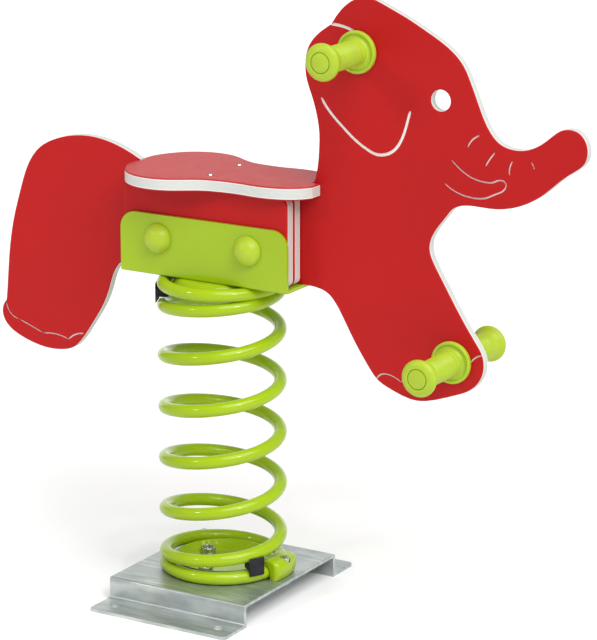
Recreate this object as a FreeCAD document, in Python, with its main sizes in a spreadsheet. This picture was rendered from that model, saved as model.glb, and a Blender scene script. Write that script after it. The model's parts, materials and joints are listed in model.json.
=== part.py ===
"""Elephant spring rider for a playground, in millimetres.

+Z is up, +X is the way the rider faces, +Y is the rider's left. The origin is
on the ground, under the middle of the base plate and on the spring's axis.
"""
import FreeCAD
import Part
import math
import os
import re
import Sketcher

V = FreeCAD.Vector
doc = FreeCAD.newDocument("SpringRider")

# ---------------------------------------------------------------- sizes
DRIVING_SIZES = [
    # base plate: a top-hat section, bolted to the foundation by its two flanges
    ("base_length", 235), ("base_width", 260), ("base_height", 36), ("base_plate", 5),
    ("base_flange", 55), ("base_hole_radius", 7), ("base_hole_inset", 27.5),
    ("base_hole_spacing", 180), ("base_corner", 7), ("base_bend", 6),
    # coil spring with closed ends
    ("coil_outside", 190), ("coil_wire", 19), ("coil_pitch", 78.7), ("coil_height", 449),
    ("coil_closing", 260), ("coil_dead_turn", 362), ("coil_upper_turn", 362),
    ("coil_lift_angle", -167.3),
    # shares of the coil's height where the wire is divided between the moving bodies
    ("share_twist", 0.10913), ("share_sway", 0.29621), ("share_rock", 0.57461),
    ("share_bounce", 0.8441),
    # dished clamp plates that centre the coil's ends
    ("dish_gap", 1.5), ("dish_flare", 9.5), ("dish_depth", 17), ("dish_plate", 4),
    ("lower_bolt_inset", 15), ("lower_bolt_angle", 30), ("upper_bolt_circle", 36),
    # claws that hold the coil down beside the dishes
    ("claw_width", 34), ("claw_hook", 6.5), ("claw_foot", 17), ("claw_crown", 11),
    ("claw_screw_offset", 8), ("claw_recess", 9), ("claw_angle", 4), ("upper_claw_back", 197.9),
    # rubber wedges that close the narrow gap at each end of the coil
    ("wedge_width", 15), ("wedge_depth", 7.5), ("wedge_wall", 1.8),
    ("wedge_angle", -27), ("upper_wedge_back", 156.9),
    # saddle bracket
    ("saddle_length", 284), ("saddle_plate", 5), ("saddle_height", 91), ("saddle_corner", 26),
    ("saddle_bend", 7), ("saddle_bolt_offset", 76.5), ("saddle_bolt_height", 56),
    # boards
    ("panel_board", 15), ("spacer_board", 19.5), ("seat_board", 19), ("seat_level", 642),
    ("spacer_length", 278), ("spacer_corner", 12),
    ("groove_width", 4.5), ("fine_groove_width", 2.2), ("groove_depth", 1.8),
    # seat outline
    ("seat_rear", -140), ("seat_front", 171), ("seat_rear_half", 98), ("seat_waist_half", 62),
    ("seat_front_half", 64), ("seat_screw_spread", 78), ("seat_screw_x", 7),
    # rider panel outline
    ("panel_rear_notch", -136), ("panel_neck", 158), ("panel_rear", 394), ("panel_front", 586),
    ("panel_head", 290), ("panel_leg", 159), ("eye_radius", 15),
    ("eye_x", 362), ("eye_z", 780),
    # grips
    ("handle_x", 231), ("handle_z", 836), ("footrest_x", 386), ("footrest_z", 411),
    ("grip_length", 104), ("grip_radius", 17.5), ("grip_inner_flange", 30.5),
    ("grip_outer_flange", 26.5), ("grip_cap", 14.6), ("grip_pocket", 15), ("rod_radius", 6),
    # fasteners
    ("clamp_bolt_radius", 6), ("clamp_hex", 18), ("saddle_bolt_radius", 5), ("saddle_hex", 16),
    ("claw_screw_radius", 4), ("claw_screw_head", 6.5), ("seat_screw_radius", 2.5),
    ("seat_screw_head", 5.5), ("seat_screw_length", 50),
    ("bolt_cap_radius", 22), ("bolt_cap_height", 15), ("bolt_cap_base", 3), ("bolt_cap_wall", 2.5),
    ("washer_plate", 2.5), ("clamp_head", 7.5), ("clamp_nut", 10), ("clamp_tail", 14),
    ("claw_head", 7.5), ("claw_socket", 6), ("claw_socket_depth", 4), ("claw_nut_height", 6.5),
    ("claw_nut_across", 13), ("claw_tail", 9), ("flush_nut", 8), ("flush_tail", 12),
    ("cross_head", 6), ("cross_nut", 7.5), ("cross_tail", 8),
    ("rod_washer", 1.5), ("rod_nut", 7), ("rod_tail", 10),
    # clearances
    ("hole_clearance", 0.5), ("seat_gap", 0.2), ("wire_gap", 1.2), ("cap_gap", 0.15),
]
sheet = doc.addObject("Spreadsheet::Sheet", "Sizes")
for row, (alias, number) in enumerate(DRIVING_SIZES, start=1):
    sheet.set(f"A{row}", alias)
    sheet.set(f"B{row}", str(number))
    sheet.setAlias(f"B{row}", alias)
doc.recompute()
ALIASES = {alias for alias, _ in DRIVING_SIZES}


def formula(text):
    """Point every size named in the text at the sheet."""
    return re.sub(r"[a-z_]+", lambda word: "Sizes." + word[0] if word[0] in ALIASES else word[0], text)


def value(text):
    """The number that a formula of sheet sizes gives."""
    return float(sheet.evalExpression(text))


def bind(item, **properties):
    """Bind properties, such as Length, to formulas; a double underscore stands for a dot."""
    for name, text in properties.items():
        item.setExpression(name.replace("__", "."), formula(text))


# ---------------------------------------------------------------- levels used by several pieces
PLATE_TOP = "base_height"
SADDLE_UNDER = "(base_height + coil_height)"
SADDLE_FLOOR = f"({SADDLE_UNDER} + saddle_plate)"
BOARD_BOTTOM = f"({SADDLE_FLOOR} + seat_gap)"
SEAT_UNDER = "(seat_level - seat_board)"
SADDLE_INNER = "(panel_board / 2 + 2 * spacer_board + seat_gap)"
SADDLE_OUTER = f"({SADDLE_INNER} + saddle_plate)"
SADDLE_BOLT_Z = f"({SADDLE_UNDER} + saddle_bolt_height)"
COIL_RADIUS = "((coil_outside - coil_wire) / 2)"
DISH_RIM = "(coil_outside / 2 - coil_wire - dish_gap)"
DISH_FLOOR = f"({DISH_RIM} - dish_flare)"
LOWER_BOLTS = f"({DISH_FLOOR} - lower_bolt_inset)"
CLAW_HEIGHT = "(coil_wire + claw_crown)"
CLAW_SCREW = "(coil_outside / 2 + claw_screw_offset)"


# ---------------------------------------------------------------- sketch and feature helpers
def new_body(label):
    body = doc.addObject("PartDesign::Body", label)
    body.Label = label
    return body


def new_sketch(body, name, role, offset=None):
    plane = next(f for f in body.Origin.OriginFeatures if f.Role == role)
    sketch = body.newObject("Sketcher::SketchObject", name)
    sketch.AttachmentSupport = [(plane, "")]
    sketch.MapMode = "FlatFace"
    if offset:
        sketch.setExpression("AttachmentOffset.Base.z", formula(offset))
    return sketch


def fix_point(sketch, geometry, end, x_text, y_text):
    """Hold one point of the sketch at two formulas, measured from the sketch's origin."""
    for kind, text in (("DistanceX", x_text), ("DistanceY", y_text)):
        index = sketch.addConstraint(Sketcher.Constraint(kind, -1, 1, geometry, end, value(text)))
        sketch.setExpression(f"Constraints[{index}]", formula(text))


def add_polygon(sketch, corners):
    """A closed run of straight lines whose corners are all bound to formulas."""
    points = [V(value(x), value(y), 0) for x, y in corners]
    first = sketch.GeometryCount
    count = len(corners)
    for i in range(count):
        sketch.addGeometry(Part.LineSegment(points[i], points[(i + 1) % count]), False)
    for i in range(count):
        after = first + (i + 1) % count
        sketch.addConstraint(Sketcher.Constraint("Coincident", first + i, 2, after, 1))
    for i, (x, y) in enumerate(corners):
        fix_point(sketch, first + i, 1, x, y)


def add_circle(sketch, x, y, radius):
    centre = V(value(x), value(y), 0)
    index = sketch.addGeometry(Part.Circle(centre, V(0, 0, 1), value(radius)), False)
    fix_point(sketch, index, 3, x, y)
    held = sketch.addConstraint(Sketcher.Constraint("Radius", index, value(radius)))
    sketch.setExpression(f"Constraints[{held}]", formula(radius))


def pad(body, name, sketch, length, midplane=False, reverse=False):
    feature = body.newObject("PartDesign::Pad", name)
    feature.Profile = sketch
    bind(feature, Length=length)
    feature.Midplane = midplane
    feature.Reversed = reverse
    return feature


def pocket(body, name, sketch):
    """Cut the sketch's outlines right through the body, both ways."""
    doc.recompute()
    before = body.Shape.Volume
    feature = body.newObject("PartDesign::Pocket", name)
    feature.Profile = sketch
    feature.Type = "ThroughAll"
    feature.Midplane = True
    doc.recompute()
    if body.Shape.Volume >= before - 1e-3:
        raise RuntimeError(f"{name} cuts nothing")
    return feature


def revolve(body, name, sketch, angle=360, midplane=False):
    feature = body.newObject("PartDesign::Revolution", name)
    feature.Profile = sketch
    feature.ReferenceAxis = (sketch, ["V_Axis"])
    if isinstance(angle, str):
        bind(feature, Angle=angle)
    else:
        feature.Angle = angle
    feature.Midplane = midplane
    return feature


def turned_body(label, corners):
    """A body turned about its own Z axis from a half section of (radius, height) corners."""
    body = new_body(label)
    section = new_sketch(body, f"{label}_section", "XZ_Plane")
    add_polygon(section, corners)
    revolve(body, f"{label}_turned", section)
    return body


def fillet(body, name, base, edges, radius):
    feature = body.newObject("PartDesign::Fillet", name)
    feature.Base = (base, edges)
    bind(feature, Radius=radius)
    return feature


def edges_where(shape, test):
    return [f"Edge{i}" for i, edge in enumerate(shape.Edges, start=1) if test(edge)]


def runs_along(edge, axis):
    """True for a straight edge along the axis."""
    if not isinstance(edge.Curve, Part.Line):
        return False
    return abs(abs(edge.Curve.Direction.dot(axis)) - 1) < 1e-6


def stand(item, x="0", y="0", z="0", rotation=None):
    """Place an item at formulas, turned first."""
    item.Placement = FreeCAD.Placement(V(value(x), value(y), value(z)), rotation or FreeCAD.Rotation())
    bind(item, Placement__Base__x=x, Placement__Base__y=y, Placement__Base__z=z)
    return item


def cylinder(name, radius, height, **place):
    item = doc.addObject("Part::Cylinder", name)
    bind(item, Radius=radius, Height=height)
    return stand(item, **place)


def hexagon(name, across, height, **place):
    item = doc.addObject("Part::Prism", name)
    item.Polygon = 6
    bind(item, Circumradius=f"{across} / 2 / cos(30)", Height=height)
    return stand(item, **place)


def cone(name, low_radius, high_radius, height, **place):
    item = doc.addObject("Part::Cone", name)
    bind(item, Radius1=low_radius, Radius2=high_radius, Height=height)
    return stand(item, **place)


def boolean(kind, name, base, tool):
    item = doc.addObject(f"Part::{kind}", name)
    item.Base = base
    item.Tool = tool
    return item


def group(label, pieces):
    item = doc.addObject("Part::Compound", label)
    item.Label = label
    item.Links = pieces
    return item


def ring(name, inner, outer, height, **place):
    """A flat washer on its own Z axis."""
    body = cylinder(f"{name}_outside", outer, height)
    hole = cylinder(f"{name}_hole", inner, height)
    return stand(boolean("Cut", name, body, hole), **place)


TO_LEFT = FreeCAD.Rotation(V(1, 0, 0), -90)
TO_RIGHT = FreeCAD.Rotation(V(1, 0, 0), 90)
UPSIDE_DOWN = FreeCAD.Rotation(V(1, 0, 0), 180)
SIDES = {"left": ("1", TO_LEFT), "right": ("-1", TO_RIGHT)}
nodes = []


def keep(*items):
    nodes.extend(items)


# ---------------------------------------------------------------- base
def bolt_places(circle, start_angle):
    """X and Y formulas of three bolts on a circle."""
    return [(f"{circle} * cos({start_angle} + {turn})", f"{circle} * sin({start_angle} + {turn})")
            for turn in (0, 120, 240)]


def make_base_plate():
    body = new_body("base_plate")
    section = new_sketch(body, "hat_section", "YZ_Plane")
    wall, half, edge = "base_plate", "base_width / 2", "base_width / 2 + base_flange"
    right_side = [(edge, "0"), (edge, wall), (half, wall), (half, "base_height")]
    inside = [(f"{half} - {wall}", f"base_height - {wall}"), (f"{half} - {wall}", "0")]
    corners = right_side + [(f"-({y})", z) for y, z in reversed(right_side)]
    corners += [(f"-({y})", z) for y, z in reversed(inside)] + inside
    add_polygon(section, corners)
    plate = pad(body, "hat_length", section, "base_length", midplane=True)
    doc.recompute()
    low, high = value("base_plate"), value("base_height - base_plate")
    bends = edges_where(body.Shape, lambda e: runs_along(e, V(1, 0, 0))
                        and abs(e.CenterOfMass.y) < value("base_width / 2 + 1")
                        and (low - 1 < e.CenterOfMass.z < low + 1
                             or e.CenterOfMass.z > high - 1))
    bent = fillet(body, "bends", plate, bends, "base_bend - 2")
    doc.recompute()
    tips = edges_where(body.Shape, lambda e: runs_along(e, V(0, 0, 1))
                       and abs(e.CenterOfMass.y) > value("base_width / 2 + base_flange - 1"))
    fillet(body, "flange_corners", bent, tips, "base_corner")
    holes = new_sketch(body, "base_holes", "XY_Plane")
    for side_x in ("-1", "1"):
        for side_y in ("-1", "1"):
            add_circle(holes, f"{side_x} * base_hole_spacing / 2",
                       f"{side_y} * (base_width / 2 + base_hole_inset)", "base_hole_radius")
    for x, y in bolt_places(LOWER_BOLTS, "lower_bolt_angle"):
        add_circle(holes, x, y, "clamp_bolt_radius + hole_clearance")
    add_circle(holes, f"{CLAW_SCREW} * cos(claw_angle)", f"{CLAW_SCREW} * sin(claw_angle)",
               "claw_screw_radius + hole_clearance")
    pocket(body, "base_drilling", holes)
    keep(body)


def make_dish(label, places, hole):
    """A pressed dish: flat floor, sloped wall, and a hole for each clamp bolt."""
    body = turned_body(label, [
        ("0", "0"), (DISH_FLOOR, "0"), (DISH_RIM, "dish_depth"),
        (f"{DISH_RIM} - dish_plate", "dish_depth"), (f"{DISH_FLOOR} - dish_plate / 2", "dish_plate"),
        ("0", "dish_plate")])
    holes = new_sketch(body, f"{label}_holes", "XY_Plane")
    for x, y in places:
        add_circle(holes, x, y, hole)
    pocket(body, f"{label}_drilling", holes)
    return body


def make_lower_clamp():
    places = bolt_places(LOWER_BOLTS, "lower_bolt_angle")
    dish = make_dish("lower_dish", places, "clamp_bolt_radius + hole_clearance")
    stand(dish, z=PLATE_TOP)
    bolts, washers, nuts = [], [], []
    floor = f"({PLATE_TOP} + dish_plate)"
    under = "(base_height - base_plate)"
    for i, (x, y) in enumerate(places):
        head = hexagon(f"clamp_head_{i}", "clamp_hex", "clamp_head", x=x, y=y, z=f"{floor} + washer_plate")
        shank = cylinder(f"clamp_shank_{i}", "clamp_bolt_radius",
                         "dish_plate + base_plate + washer_plate + clamp_tail",
                         x=x, y=y, z=f"{under} - clamp_tail")
        bolts.append(boolean("Fuse", f"clamp_bolt_{i}", head, shank))
        washers.append(ring(f"clamp_washer_{i}", "clamp_bolt_radius + hole_clearance",
                            "clamp_hex / 2 + 2.5", "washer_plate", x=x, y=y, z=floor))
        level = f"{under} - clamp_nut"
        nut = hexagon(f"clamp_nut_blank_{i}", "clamp_hex", "clamp_nut", x=x, y=y, z=level)
        hole = cylinder(f"clamp_nut_bore_{i}", "clamp_bolt_radius", "clamp_nut", x=x, y=y, z=level)
        nuts.append(boolean("Cut", f"clamp_nut_{i}", nut, hole))
    keep(dish, group("lower_clamp_bolts", bolts), group("lower_clamp_washers", washers),
         group("lower_clamp_nuts", nuts))


# ---------------------------------------------------------------- coil spring
class Coil:
    """The wire's centre line: an even helix that flattens out at both ends."""

    radius = value(COIL_RADIUS)
    pitch = value("coil_pitch")
    closing = value("coil_closing")
    low = value(f"{PLATE_TOP} + coil_wire / 2 + seat_gap")
    high = value(f"{SADDLE_UNDER} - coil_wire / 2 - seat_gap")
    lift = value("coil_lift_angle")
    land = lift + 360 * (high - low) / pitch
    start = lift - value("coil_dead_turn")
    finish = land + value("coil_upper_turn")
    upper_claw = finish - value("upper_claw_back")
    upper_wedge = finish - value("upper_wedge_back")

    @classmethod
    def rise(cls, past):
        """Height gained at an angle past the point where the helix would leave the flat."""
        if past <= -cls.closing:
            return 0.0
        if past < cls.closing:
            return cls.pitch / 360 * (past + cls.closing) ** 2 / (4 * cls.closing)
        return cls.pitch / 360 * past

    @classmethod
    def level(cls, angle):
        if angle < (cls.lift + cls.land) / 2:
            return cls.low + cls.rise(angle - cls.lift)
        return cls.high - cls.rise(cls.land - angle)

    @classmethod
    def angle_at(cls, level):
        """The angle at which the climbing wire passes a level, found by halving."""
        before, after = cls.lift - cls.closing, cls.land + cls.closing
        for _ in range(60):
            middle = (before + after) / 2
            if cls.level(middle) < level:
                before = middle
            else:
                after = middle
        return middle

    @classmethod
    def point(cls, angle):
        turn = math.radians(angle)
        return V(cls.radius * math.cos(turn), cls.radius * math.sin(turn), cls.level(angle))


def wire_stretch(label, first, last):
    """A length of the wire from one angle to another."""
    count = max(4, round((last - first) / 15))
    points = [Coil.point(first + (last - first) * i / count) for i in range(count + 1)]
    curve = Part.BSplineCurve()
    curve.interpolate(points)
    edge = curve.toShape()
    start = edge.ParameterRange[0]
    circle = Part.Circle(points[0], edge.tangentAt(start), value("coil_wire / 2"))
    section = Part.Wire(circle.toShape())
    item = doc.addObject("Part::Feature", label)
    item.Label = label
    item.Shape = Part.Wire(edge).makePipeShell([section], True, True)
    return item


def make_spring():
    levels = [value(f"{PLATE_TOP} + coil_height * {name}")
              for name in ("share_twist", "share_sway", "share_rock", "share_bounce")]
    angles = [Coil.start] + [Coil.angle_at(level) for level in levels] + [Coil.finish]
    labels = ["spring_lower_end", "spring_lower_turn", "spring_middle_turns",
              "spring_upper_turns", "spring_upper_end"]
    parting = math.degrees(value("cap_gap") / Coil.radius)
    for label, first, last in zip(labels, angles, angles[1:]):
        keep(wire_stretch(label, first + parting, last))


# ---------------------------------------------------------------- coil claws and wedges
def make_claw(label, wire_level):
    """A cast claw over the coil, with a hole and a pocket for its screw."""
    body = new_body(label)
    section = new_sketch(body, f"{label}_section", "XZ_Plane")
    gap = "(coil_wire / 2 + wire_gap)"
    foot = f"{COIL_RADIUS} + {gap} + 0.8"
    inner, outer = f"({COIL_RADIUS} - claw_hook)", "(coil_outside / 2 + claw_foot)"
    add_polygon(section, [
        (foot, "0.1"), (outer, "0.1"), (outer, f"{CLAW_HEIGHT} - 6"),
        (f"{outer} - 6", CLAW_HEIGHT), (f"{inner} + 5", CLAW_HEIGHT),
        (inner, f"{CLAW_HEIGHT} - 4"), (inner, f"{wire_level} + {gap}"),
        (f"{COIL_RADIUS}", f"{wire_level} + {gap}"),
        (f"{COIL_RADIUS} + 0.6 * {gap}", f"{wire_level} + 0.88 * {gap}"),
        (f"{COIL_RADIUS} + {gap}", f"{wire_level} + 0.45 * {gap}"), (foot, wire_level)])
    solid = revolve(body, f"{label}_arch", section, angle="claw_width", midplane=True)
    doc.recompute()
    ends = edges_where(body.Shape, lambda e: e.CenterOfMass.z > value(CLAW_HEIGHT) - 0.5
                       and e.Length > value(CLAW_HEIGHT) / 2 and isinstance(e.Curve, Part.Line))
    fillet(body, f"{label}_round", solid, ends, "3")
    drill = new_sketch(body, f"{label}_drill", "XY_Plane")
    add_circle(drill, CLAW_SCREW, "0", "claw_screw_radius + hole_clearance")
    pocket(body, f"{label}_drilling", drill)
    recess = new_sketch(body, f"{label}_recess", "XY_Plane", offset=f"{CLAW_HEIGHT} - claw_recess")
    add_circle(recess, CLAW_SCREW, "0", "claw_screw_head + 1.4")
    doc.recompute()
    before = body.Shape.Volume
    cut = body.newObject("PartDesign::Pocket", f"{label}_counterbore")
    cut.Profile = recess
    cut.Length = 20
    cut.Reversed = True
    doc.recompute()
    if body.Shape.Volume >= before:
        raise RuntimeError(f"{label} has no counterbore")
    return body


def claw_nut(name, **place):
    """A thin nut, its corners turned down to a circle."""
    blank = ring(f"{name}_blank", "claw_screw_radius", "claw_screw_head + 0.9", "claw_nut_height")
    flats = hexagon(f"{name}_flats", "claw_nut_across", "claw_nut_height")
    nut = stand(boolean("Common", name, blank, flats), **place)
    nut.Label = name
    return nut


def make_lower_claw():
    """The lower claw stands on the base plate, held by a cap screw and a nut below."""
    wire_level = Coil.level(value("claw_angle") - 360) - value(PLATE_TOP)
    claw = make_claw("lower_claw", f"{wire_level:.3f}")
    stand(claw, z=PLATE_TOP, rotation=FreeCAD.Rotation(V(0, 0, 1), value("claw_angle")))
    at = {"x": f"{CLAW_SCREW} * cos(claw_angle)", "y": f"{CLAW_SCREW} * sin(claw_angle)"}
    seat = f"({PLATE_TOP} + {CLAW_HEIGHT} - claw_recess)"
    below = "(base_height - base_plate)"
    head = cylinder("lower_claw_head", "claw_screw_head", "claw_head", z=seat, **at)
    socket = hexagon("lower_claw_socket", "claw_socket", "claw_head",
                     z=f"{seat} + claw_head - claw_socket_depth", **at)
    shank = cylinder("lower_claw_shank", "claw_screw_radius", f"{seat} - {below} + claw_tail",
                     z=f"{below} - claw_tail", **at)
    screw = boolean("Cut", "lower_claw_screw", boolean("Fuse", "lower_claw_bolt", head, shank), socket)
    keep(claw, screw, claw_nut("lower_claw_nut", z=f"{below} - claw_nut_height", **at))


def upper_claw_place():
    """X and Y formulas of the upper claw's screw."""
    return [f"{CLAW_SCREW} * {way(math.radians(Coil.upper_claw)):.6f}" for way in (math.cos, math.sin)]


def make_upper_claw():
    """The upper claw hangs from the saddle on a flush screw, with its nut in the claw."""
    wire_level = value(SADDLE_UNDER) - Coil.level(Coil.upper_claw)
    claw = make_claw("upper_claw", f"{wire_level:.3f}")
    rotation = FreeCAD.Rotation(V(0, 0, 1), Coil.upper_claw).multiply(UPSIDE_DOWN)
    stand(claw, z=SADDLE_UNDER, rotation=rotation)
    x, y = upper_claw_place()
    at = {"x": x, "y": y}
    seat = f"({SADDLE_UNDER} - {CLAW_HEIGHT} + claw_recess)"
    head = cone("upper_claw_head", "claw_screw_radius", "2 * claw_screw_radius", "saddle_plate",
                z=SADDLE_UNDER, **at)
    shank = cylinder("upper_claw_shank", "claw_screw_radius", f"{CLAW_HEIGHT} - claw_recess + claw_tail",
                     z=f"{seat} - claw_tail", **at)
    screw = boolean("Fuse", "upper_claw_screw", head, shank)
    keep(claw, screw, claw_nut("upper_claw_nut", z=f"{seat} - claw_nut_height", **at))


def make_wedge(label, angle, low_wire, high_wire):
    """A rubber wedge between two turns, with an outer wall that clips past both."""
    body = new_body(label)
    section = new_sketch(body, f"{label}_section", "XZ_Plane")
    half = "coil_wire / 2"
    inside, outside = f"({COIL_RADIUS} - wedge_depth)", "coil_outside / 2 + 0.8"
    bottom, top = f"{low_wire} + {half} + wire_gap + 1", f"{high_wire} - {half} - wire_gap - 1"
    add_polygon(section, [
        (inside, bottom), (outside, bottom), (outside, f"{low_wire} + 3"),
        (f"{outside} + wedge_wall", f"{low_wire} + 3"), (f"{outside} + wedge_wall", f"{high_wire} - 3"),
        (outside, f"{high_wire} - 3"), (outside, top), (inside, top)])
    revolve(body, f"{label}_block", section, angle="wedge_width", midplane=True)
    stand(body, rotation=FreeCAD.Rotation(V(0, 0, 1), angle))
    keep(body)


def make_wedges():
    low, high = value("wedge_angle"), Coil.upper_wedge
    make_wedge("lower_wedge", low, f"{Coil.level(low - 360):.3f}", f"{Coil.level(low):.3f}")
    make_wedge("upper_wedge", high, f"{Coil.level(high - 360):.3f}", f"{Coil.level(high):.3f}")


# ---------------------------------------------------------------- saddle and its clamp
def make_saddle():
    body = new_body("saddle_bracket")
    section = new_sketch(body, "channel", "YZ_Plane")
    inner, outer = SADDLE_INNER, SADDLE_OUTER
    top = f"{SADDLE_UNDER} + saddle_height"
    add_polygon(section, [
        (f"-{outer}", SADDLE_UNDER), (outer, SADDLE_UNDER), (outer, top), (inner, top),
        (inner, SADDLE_FLOOR), (f"-{inner}", SADDLE_FLOOR), (f"-{inner}", top), (f"-{outer}", top)])
    channel = pad(body, "channel_length", section, "saddle_length", midplane=True)
    doc.recompute()
    tall = value(top) - 0.5
    corners = edges_where(body.Shape, lambda e: runs_along(e, V(0, 1, 0)) and e.CenterOfMass.z > tall)
    rounded = fillet(body, "channel_corners", channel, corners, "saddle_corner")
    doc.recompute()
    outside = edges_where(body.Shape, lambda e: runs_along(e, V(1, 0, 0))
                          and e.CenterOfMass.z < value(SADDLE_UNDER) + 0.5)
    fillet(body, "channel_bends", rounded, outside, "saddle_bend - 4")
    cross = new_sketch(body, "cross_holes", "XZ_Plane")
    for side in ("-1", "1"):
        add_circle(cross, f"{side} * saddle_bolt_offset", SADDLE_BOLT_Z,
                   "saddle_bolt_radius + hole_clearance")
    pocket(body, "cross_drilling", cross)
    floor = new_sketch(body, "floor_holes", "XY_Plane", offset=SADDLE_UNDER)
    for x, y in bolt_places("upper_bolt_circle", "0"):
        add_circle(floor, x, y, "saddle_bolt_radius + hole_clearance")
    claw_x, claw_y = upper_claw_place()
    add_circle(floor, claw_x, claw_y, "claw_screw_radius + hole_clearance")
    pocket(body, "floor_drilling", floor)
    countersinks = [cone(f"countersink_{i}", "saddle_bolt_radius + hole_clearance",
                         "2 * saddle_bolt_radius + hole_clearance", "saddle_plate",
                         x=x, y=y, z=SADDLE_UNDER)
                    for i, (x, y) in enumerate(bolt_places("upper_bolt_circle", "0"))]
    countersinks.append(cone("countersink_claw", "claw_screw_radius + hole_clearance",
                             "2 * claw_screw_radius + hole_clearance", "saddle_plate",
                             x=claw_x, y=claw_y, z=SADDLE_UNDER))
    bracket = boolean("Cut", "saddle_bracket_cut", body, group("countersinks", countersinks))
    body.Label = "saddle_channel"
    bracket.Label = "saddle_bracket"
    keep(bracket)


def make_upper_clamp():
    places = bolt_places("upper_bolt_circle", "0")
    dish = make_dish("upper_dish", [(x, f"-({y})") for x, y in places],
                     "saddle_bolt_radius + hole_clearance")
    stand(dish, z=SADDLE_UNDER, rotation=UPSIDE_DOWN)
    screws, washers, nuts = [], [], []
    face = f"({SADDLE_UNDER} - dish_plate)"
    for i, (x, y) in enumerate(places):
        head = cone(f"flush_head_{i}", "saddle_bolt_radius", "2 * saddle_bolt_radius",
                    "saddle_plate", x=x, y=y, z=SADDLE_UNDER)
        shank = cylinder(f"flush_shank_{i}", "saddle_bolt_radius", "dish_plate + washer_plate + flush_tail",
                         x=x, y=y, z=f"{face} - washer_plate - flush_tail")
        screws.append(boolean("Fuse", f"flush_screw_{i}", head, shank))
        washers.append(ring(f"flush_washer_{i}", "saddle_bolt_radius + hole_clearance",
                            "saddle_hex / 2 + 2", "washer_plate", x=x, y=y,
                            z=f"{face} - washer_plate"))
        level = f"{face} - washer_plate - flush_nut"
        nut = hexagon(f"flush_nut_blank_{i}", "saddle_hex", "flush_nut", x=x, y=y, z=level)
        hole = cylinder(f"flush_nut_bore_{i}", "saddle_bolt_radius", "flush_nut", x=x, y=y, z=level)
        nuts.append(boolean("Cut", f"flush_nut_{i}", nut, hole))
    keep(dish, group("upper_clamp_screws", screws), group("upper_clamp_washers", washers),
         group("upper_clamp_nuts", nuts))


# ---------------------------------------------------------------- boards
def spline(sketch, points):
    """A smooth curve through the points, as sketch geometry."""
    curve = Part.BSplineCurve()
    curve.interpolate([V(x, z, 0) for x, z in points])
    sketch.addGeometry(curve, False)


def straight(sketch, *points):
    for (x, z), (next_x, next_z) in zip(points, points[1:]):
        sketch.addGeometry(Part.LineSegment(V(x, z, 0), V(next_x, next_z, 0)), False)


class Elephant:
    """The rider's outline, as points (x, z) that follow the panel's named limits.

    Each point is given where it lies on the panel at its standard size, and is
    moved in proportion between the seat's notch, the neck and the panel's limits.
    """

    standard_x = (-394, -136, 158, 586)
    standard_z = (331, 490, 627, 913)
    notch, neck = value("panel_rear_notch"), value("panel_neck")
    belly, seat = value(BOARD_BOTTOM), value(SEAT_UNDER)
    limits_x = (-value("panel_rear"), notch, neck, value("panel_front"))
    limits_z = (belly - value("panel_leg"), belly, seat, seat + value("panel_head"))

    @staticmethod
    def stretch(number, standard, limits):
        """Carry a number over, in proportion, from one scale of four marks to another."""
        step = 0 if number < standard[1] else 2 if number > standard[2] else 1
        share = (number - standard[step]) / (standard[step + 1] - standard[step])
        return limits[step] + share * (limits[step + 1] - limits[step])

    @classmethod
    def place(cls, x, z):
        return (cls.stretch(x, cls.standard_x, cls.limits_x),
                cls.stretch(z, cls.standard_z, cls.limits_z))

    @classmethod
    def run(cls, *points):
        return [cls.place(x, z) for x, z in points]


RUMP = [(-136, 647), (-153, 655), (-181, 665), (-211, 671), (-247, 671), (-286, 662), (-318, 645),
        (-338, 620), (-354, 578), (-368, 530), (-378, 475), (-383, 425), (-386, 396)]
HIND_FOOT = [(-386, 396), (-392, 388), (-394, 377), (-387, 360), (-366, 345), (-340, 336),
             (-313, 331), (-284, 332), (-262, 339), (-246, 354), (-226, 382), (-208, 410),
             (-195, 439), (-187, 463), (-176, 480), (-158, 490)]
FRONT_LEG = [(142, 490), (162, 489), (182, 483), (197, 468), (214, 440), (234, 407), (253, 380),
             (267, 365), (283, 357), (305, 349), (328, 345), (357, 350), (388, 361), (414, 373),
             (429, 389), (435, 410), (432, 427), (422, 443), (407, 464), (390, 490), (371, 522),
             (354, 551), (348, 566), (348, 580), (355, 597), (367, 614), (379, 630)]
TRUNK_UNDER = [(379, 630), (389, 637), (407, 641), (427, 641), (449, 641), (473, 645), (497, 654),
               (520, 668), (540, 685), (556, 698), (571, 708), (581, 717), (586, 731), (583, 747),
               (572, 759), (558, 762), (545, 759), (531, 749), (514, 736), (493, 727), (473, 726),
               (454, 732), (440, 745), (429, 763), (418, 788), (408, 811), (397, 832), (381, 849),
               (362, 862), (338, 875), (306, 891), (275, 904), (253, 912), (238, 913), (219, 906),
               (204, 894), (190, 876)]
EAR_BACK = [(186, 871), (177, 865), (161, 852), (149, 834), (145, 814), (148, 789), (156, 768),
            (163, 746), (168, 718), (168, 696), (165, 665), (158, 640)]
EAR_TOP_GROOVE = [(186, 872), (202, 871), (219, 867), (236, 858)]
EAR_GROOVE = [(172, 768), (189, 746), (208, 729), (228, 713), (247, 702), (261, 697), (275, 698),
              (289, 705), (300, 719), (308, 739), (315, 763)]
MOUTH_GROOVE = [(380, 702), (393, 691), (411, 681), (430, 677), (445, 678), (456, 682), (464, 679),
                (463, 671), (451, 663), (434, 655), (413, 653), (391, 657), (369, 669)]
FOLDS = [[(405, 722), (412, 733), (423, 740)], [(433, 699), (439, 709), (447, 719)],
         [(470, 690), (470, 701), (474, 710)], [(502, 712), (505, 708), (507, 702)]]
HIND_TOES = [[(-386, 394), (-379, 377), (-363, 369)], [(-363, 369), (-339, 361), (-318, 353)],
             [(-318, 353), (-294, 355), (-271, 350)], [(-271, 350), (-254, 361), (-242, 363)]]
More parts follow.
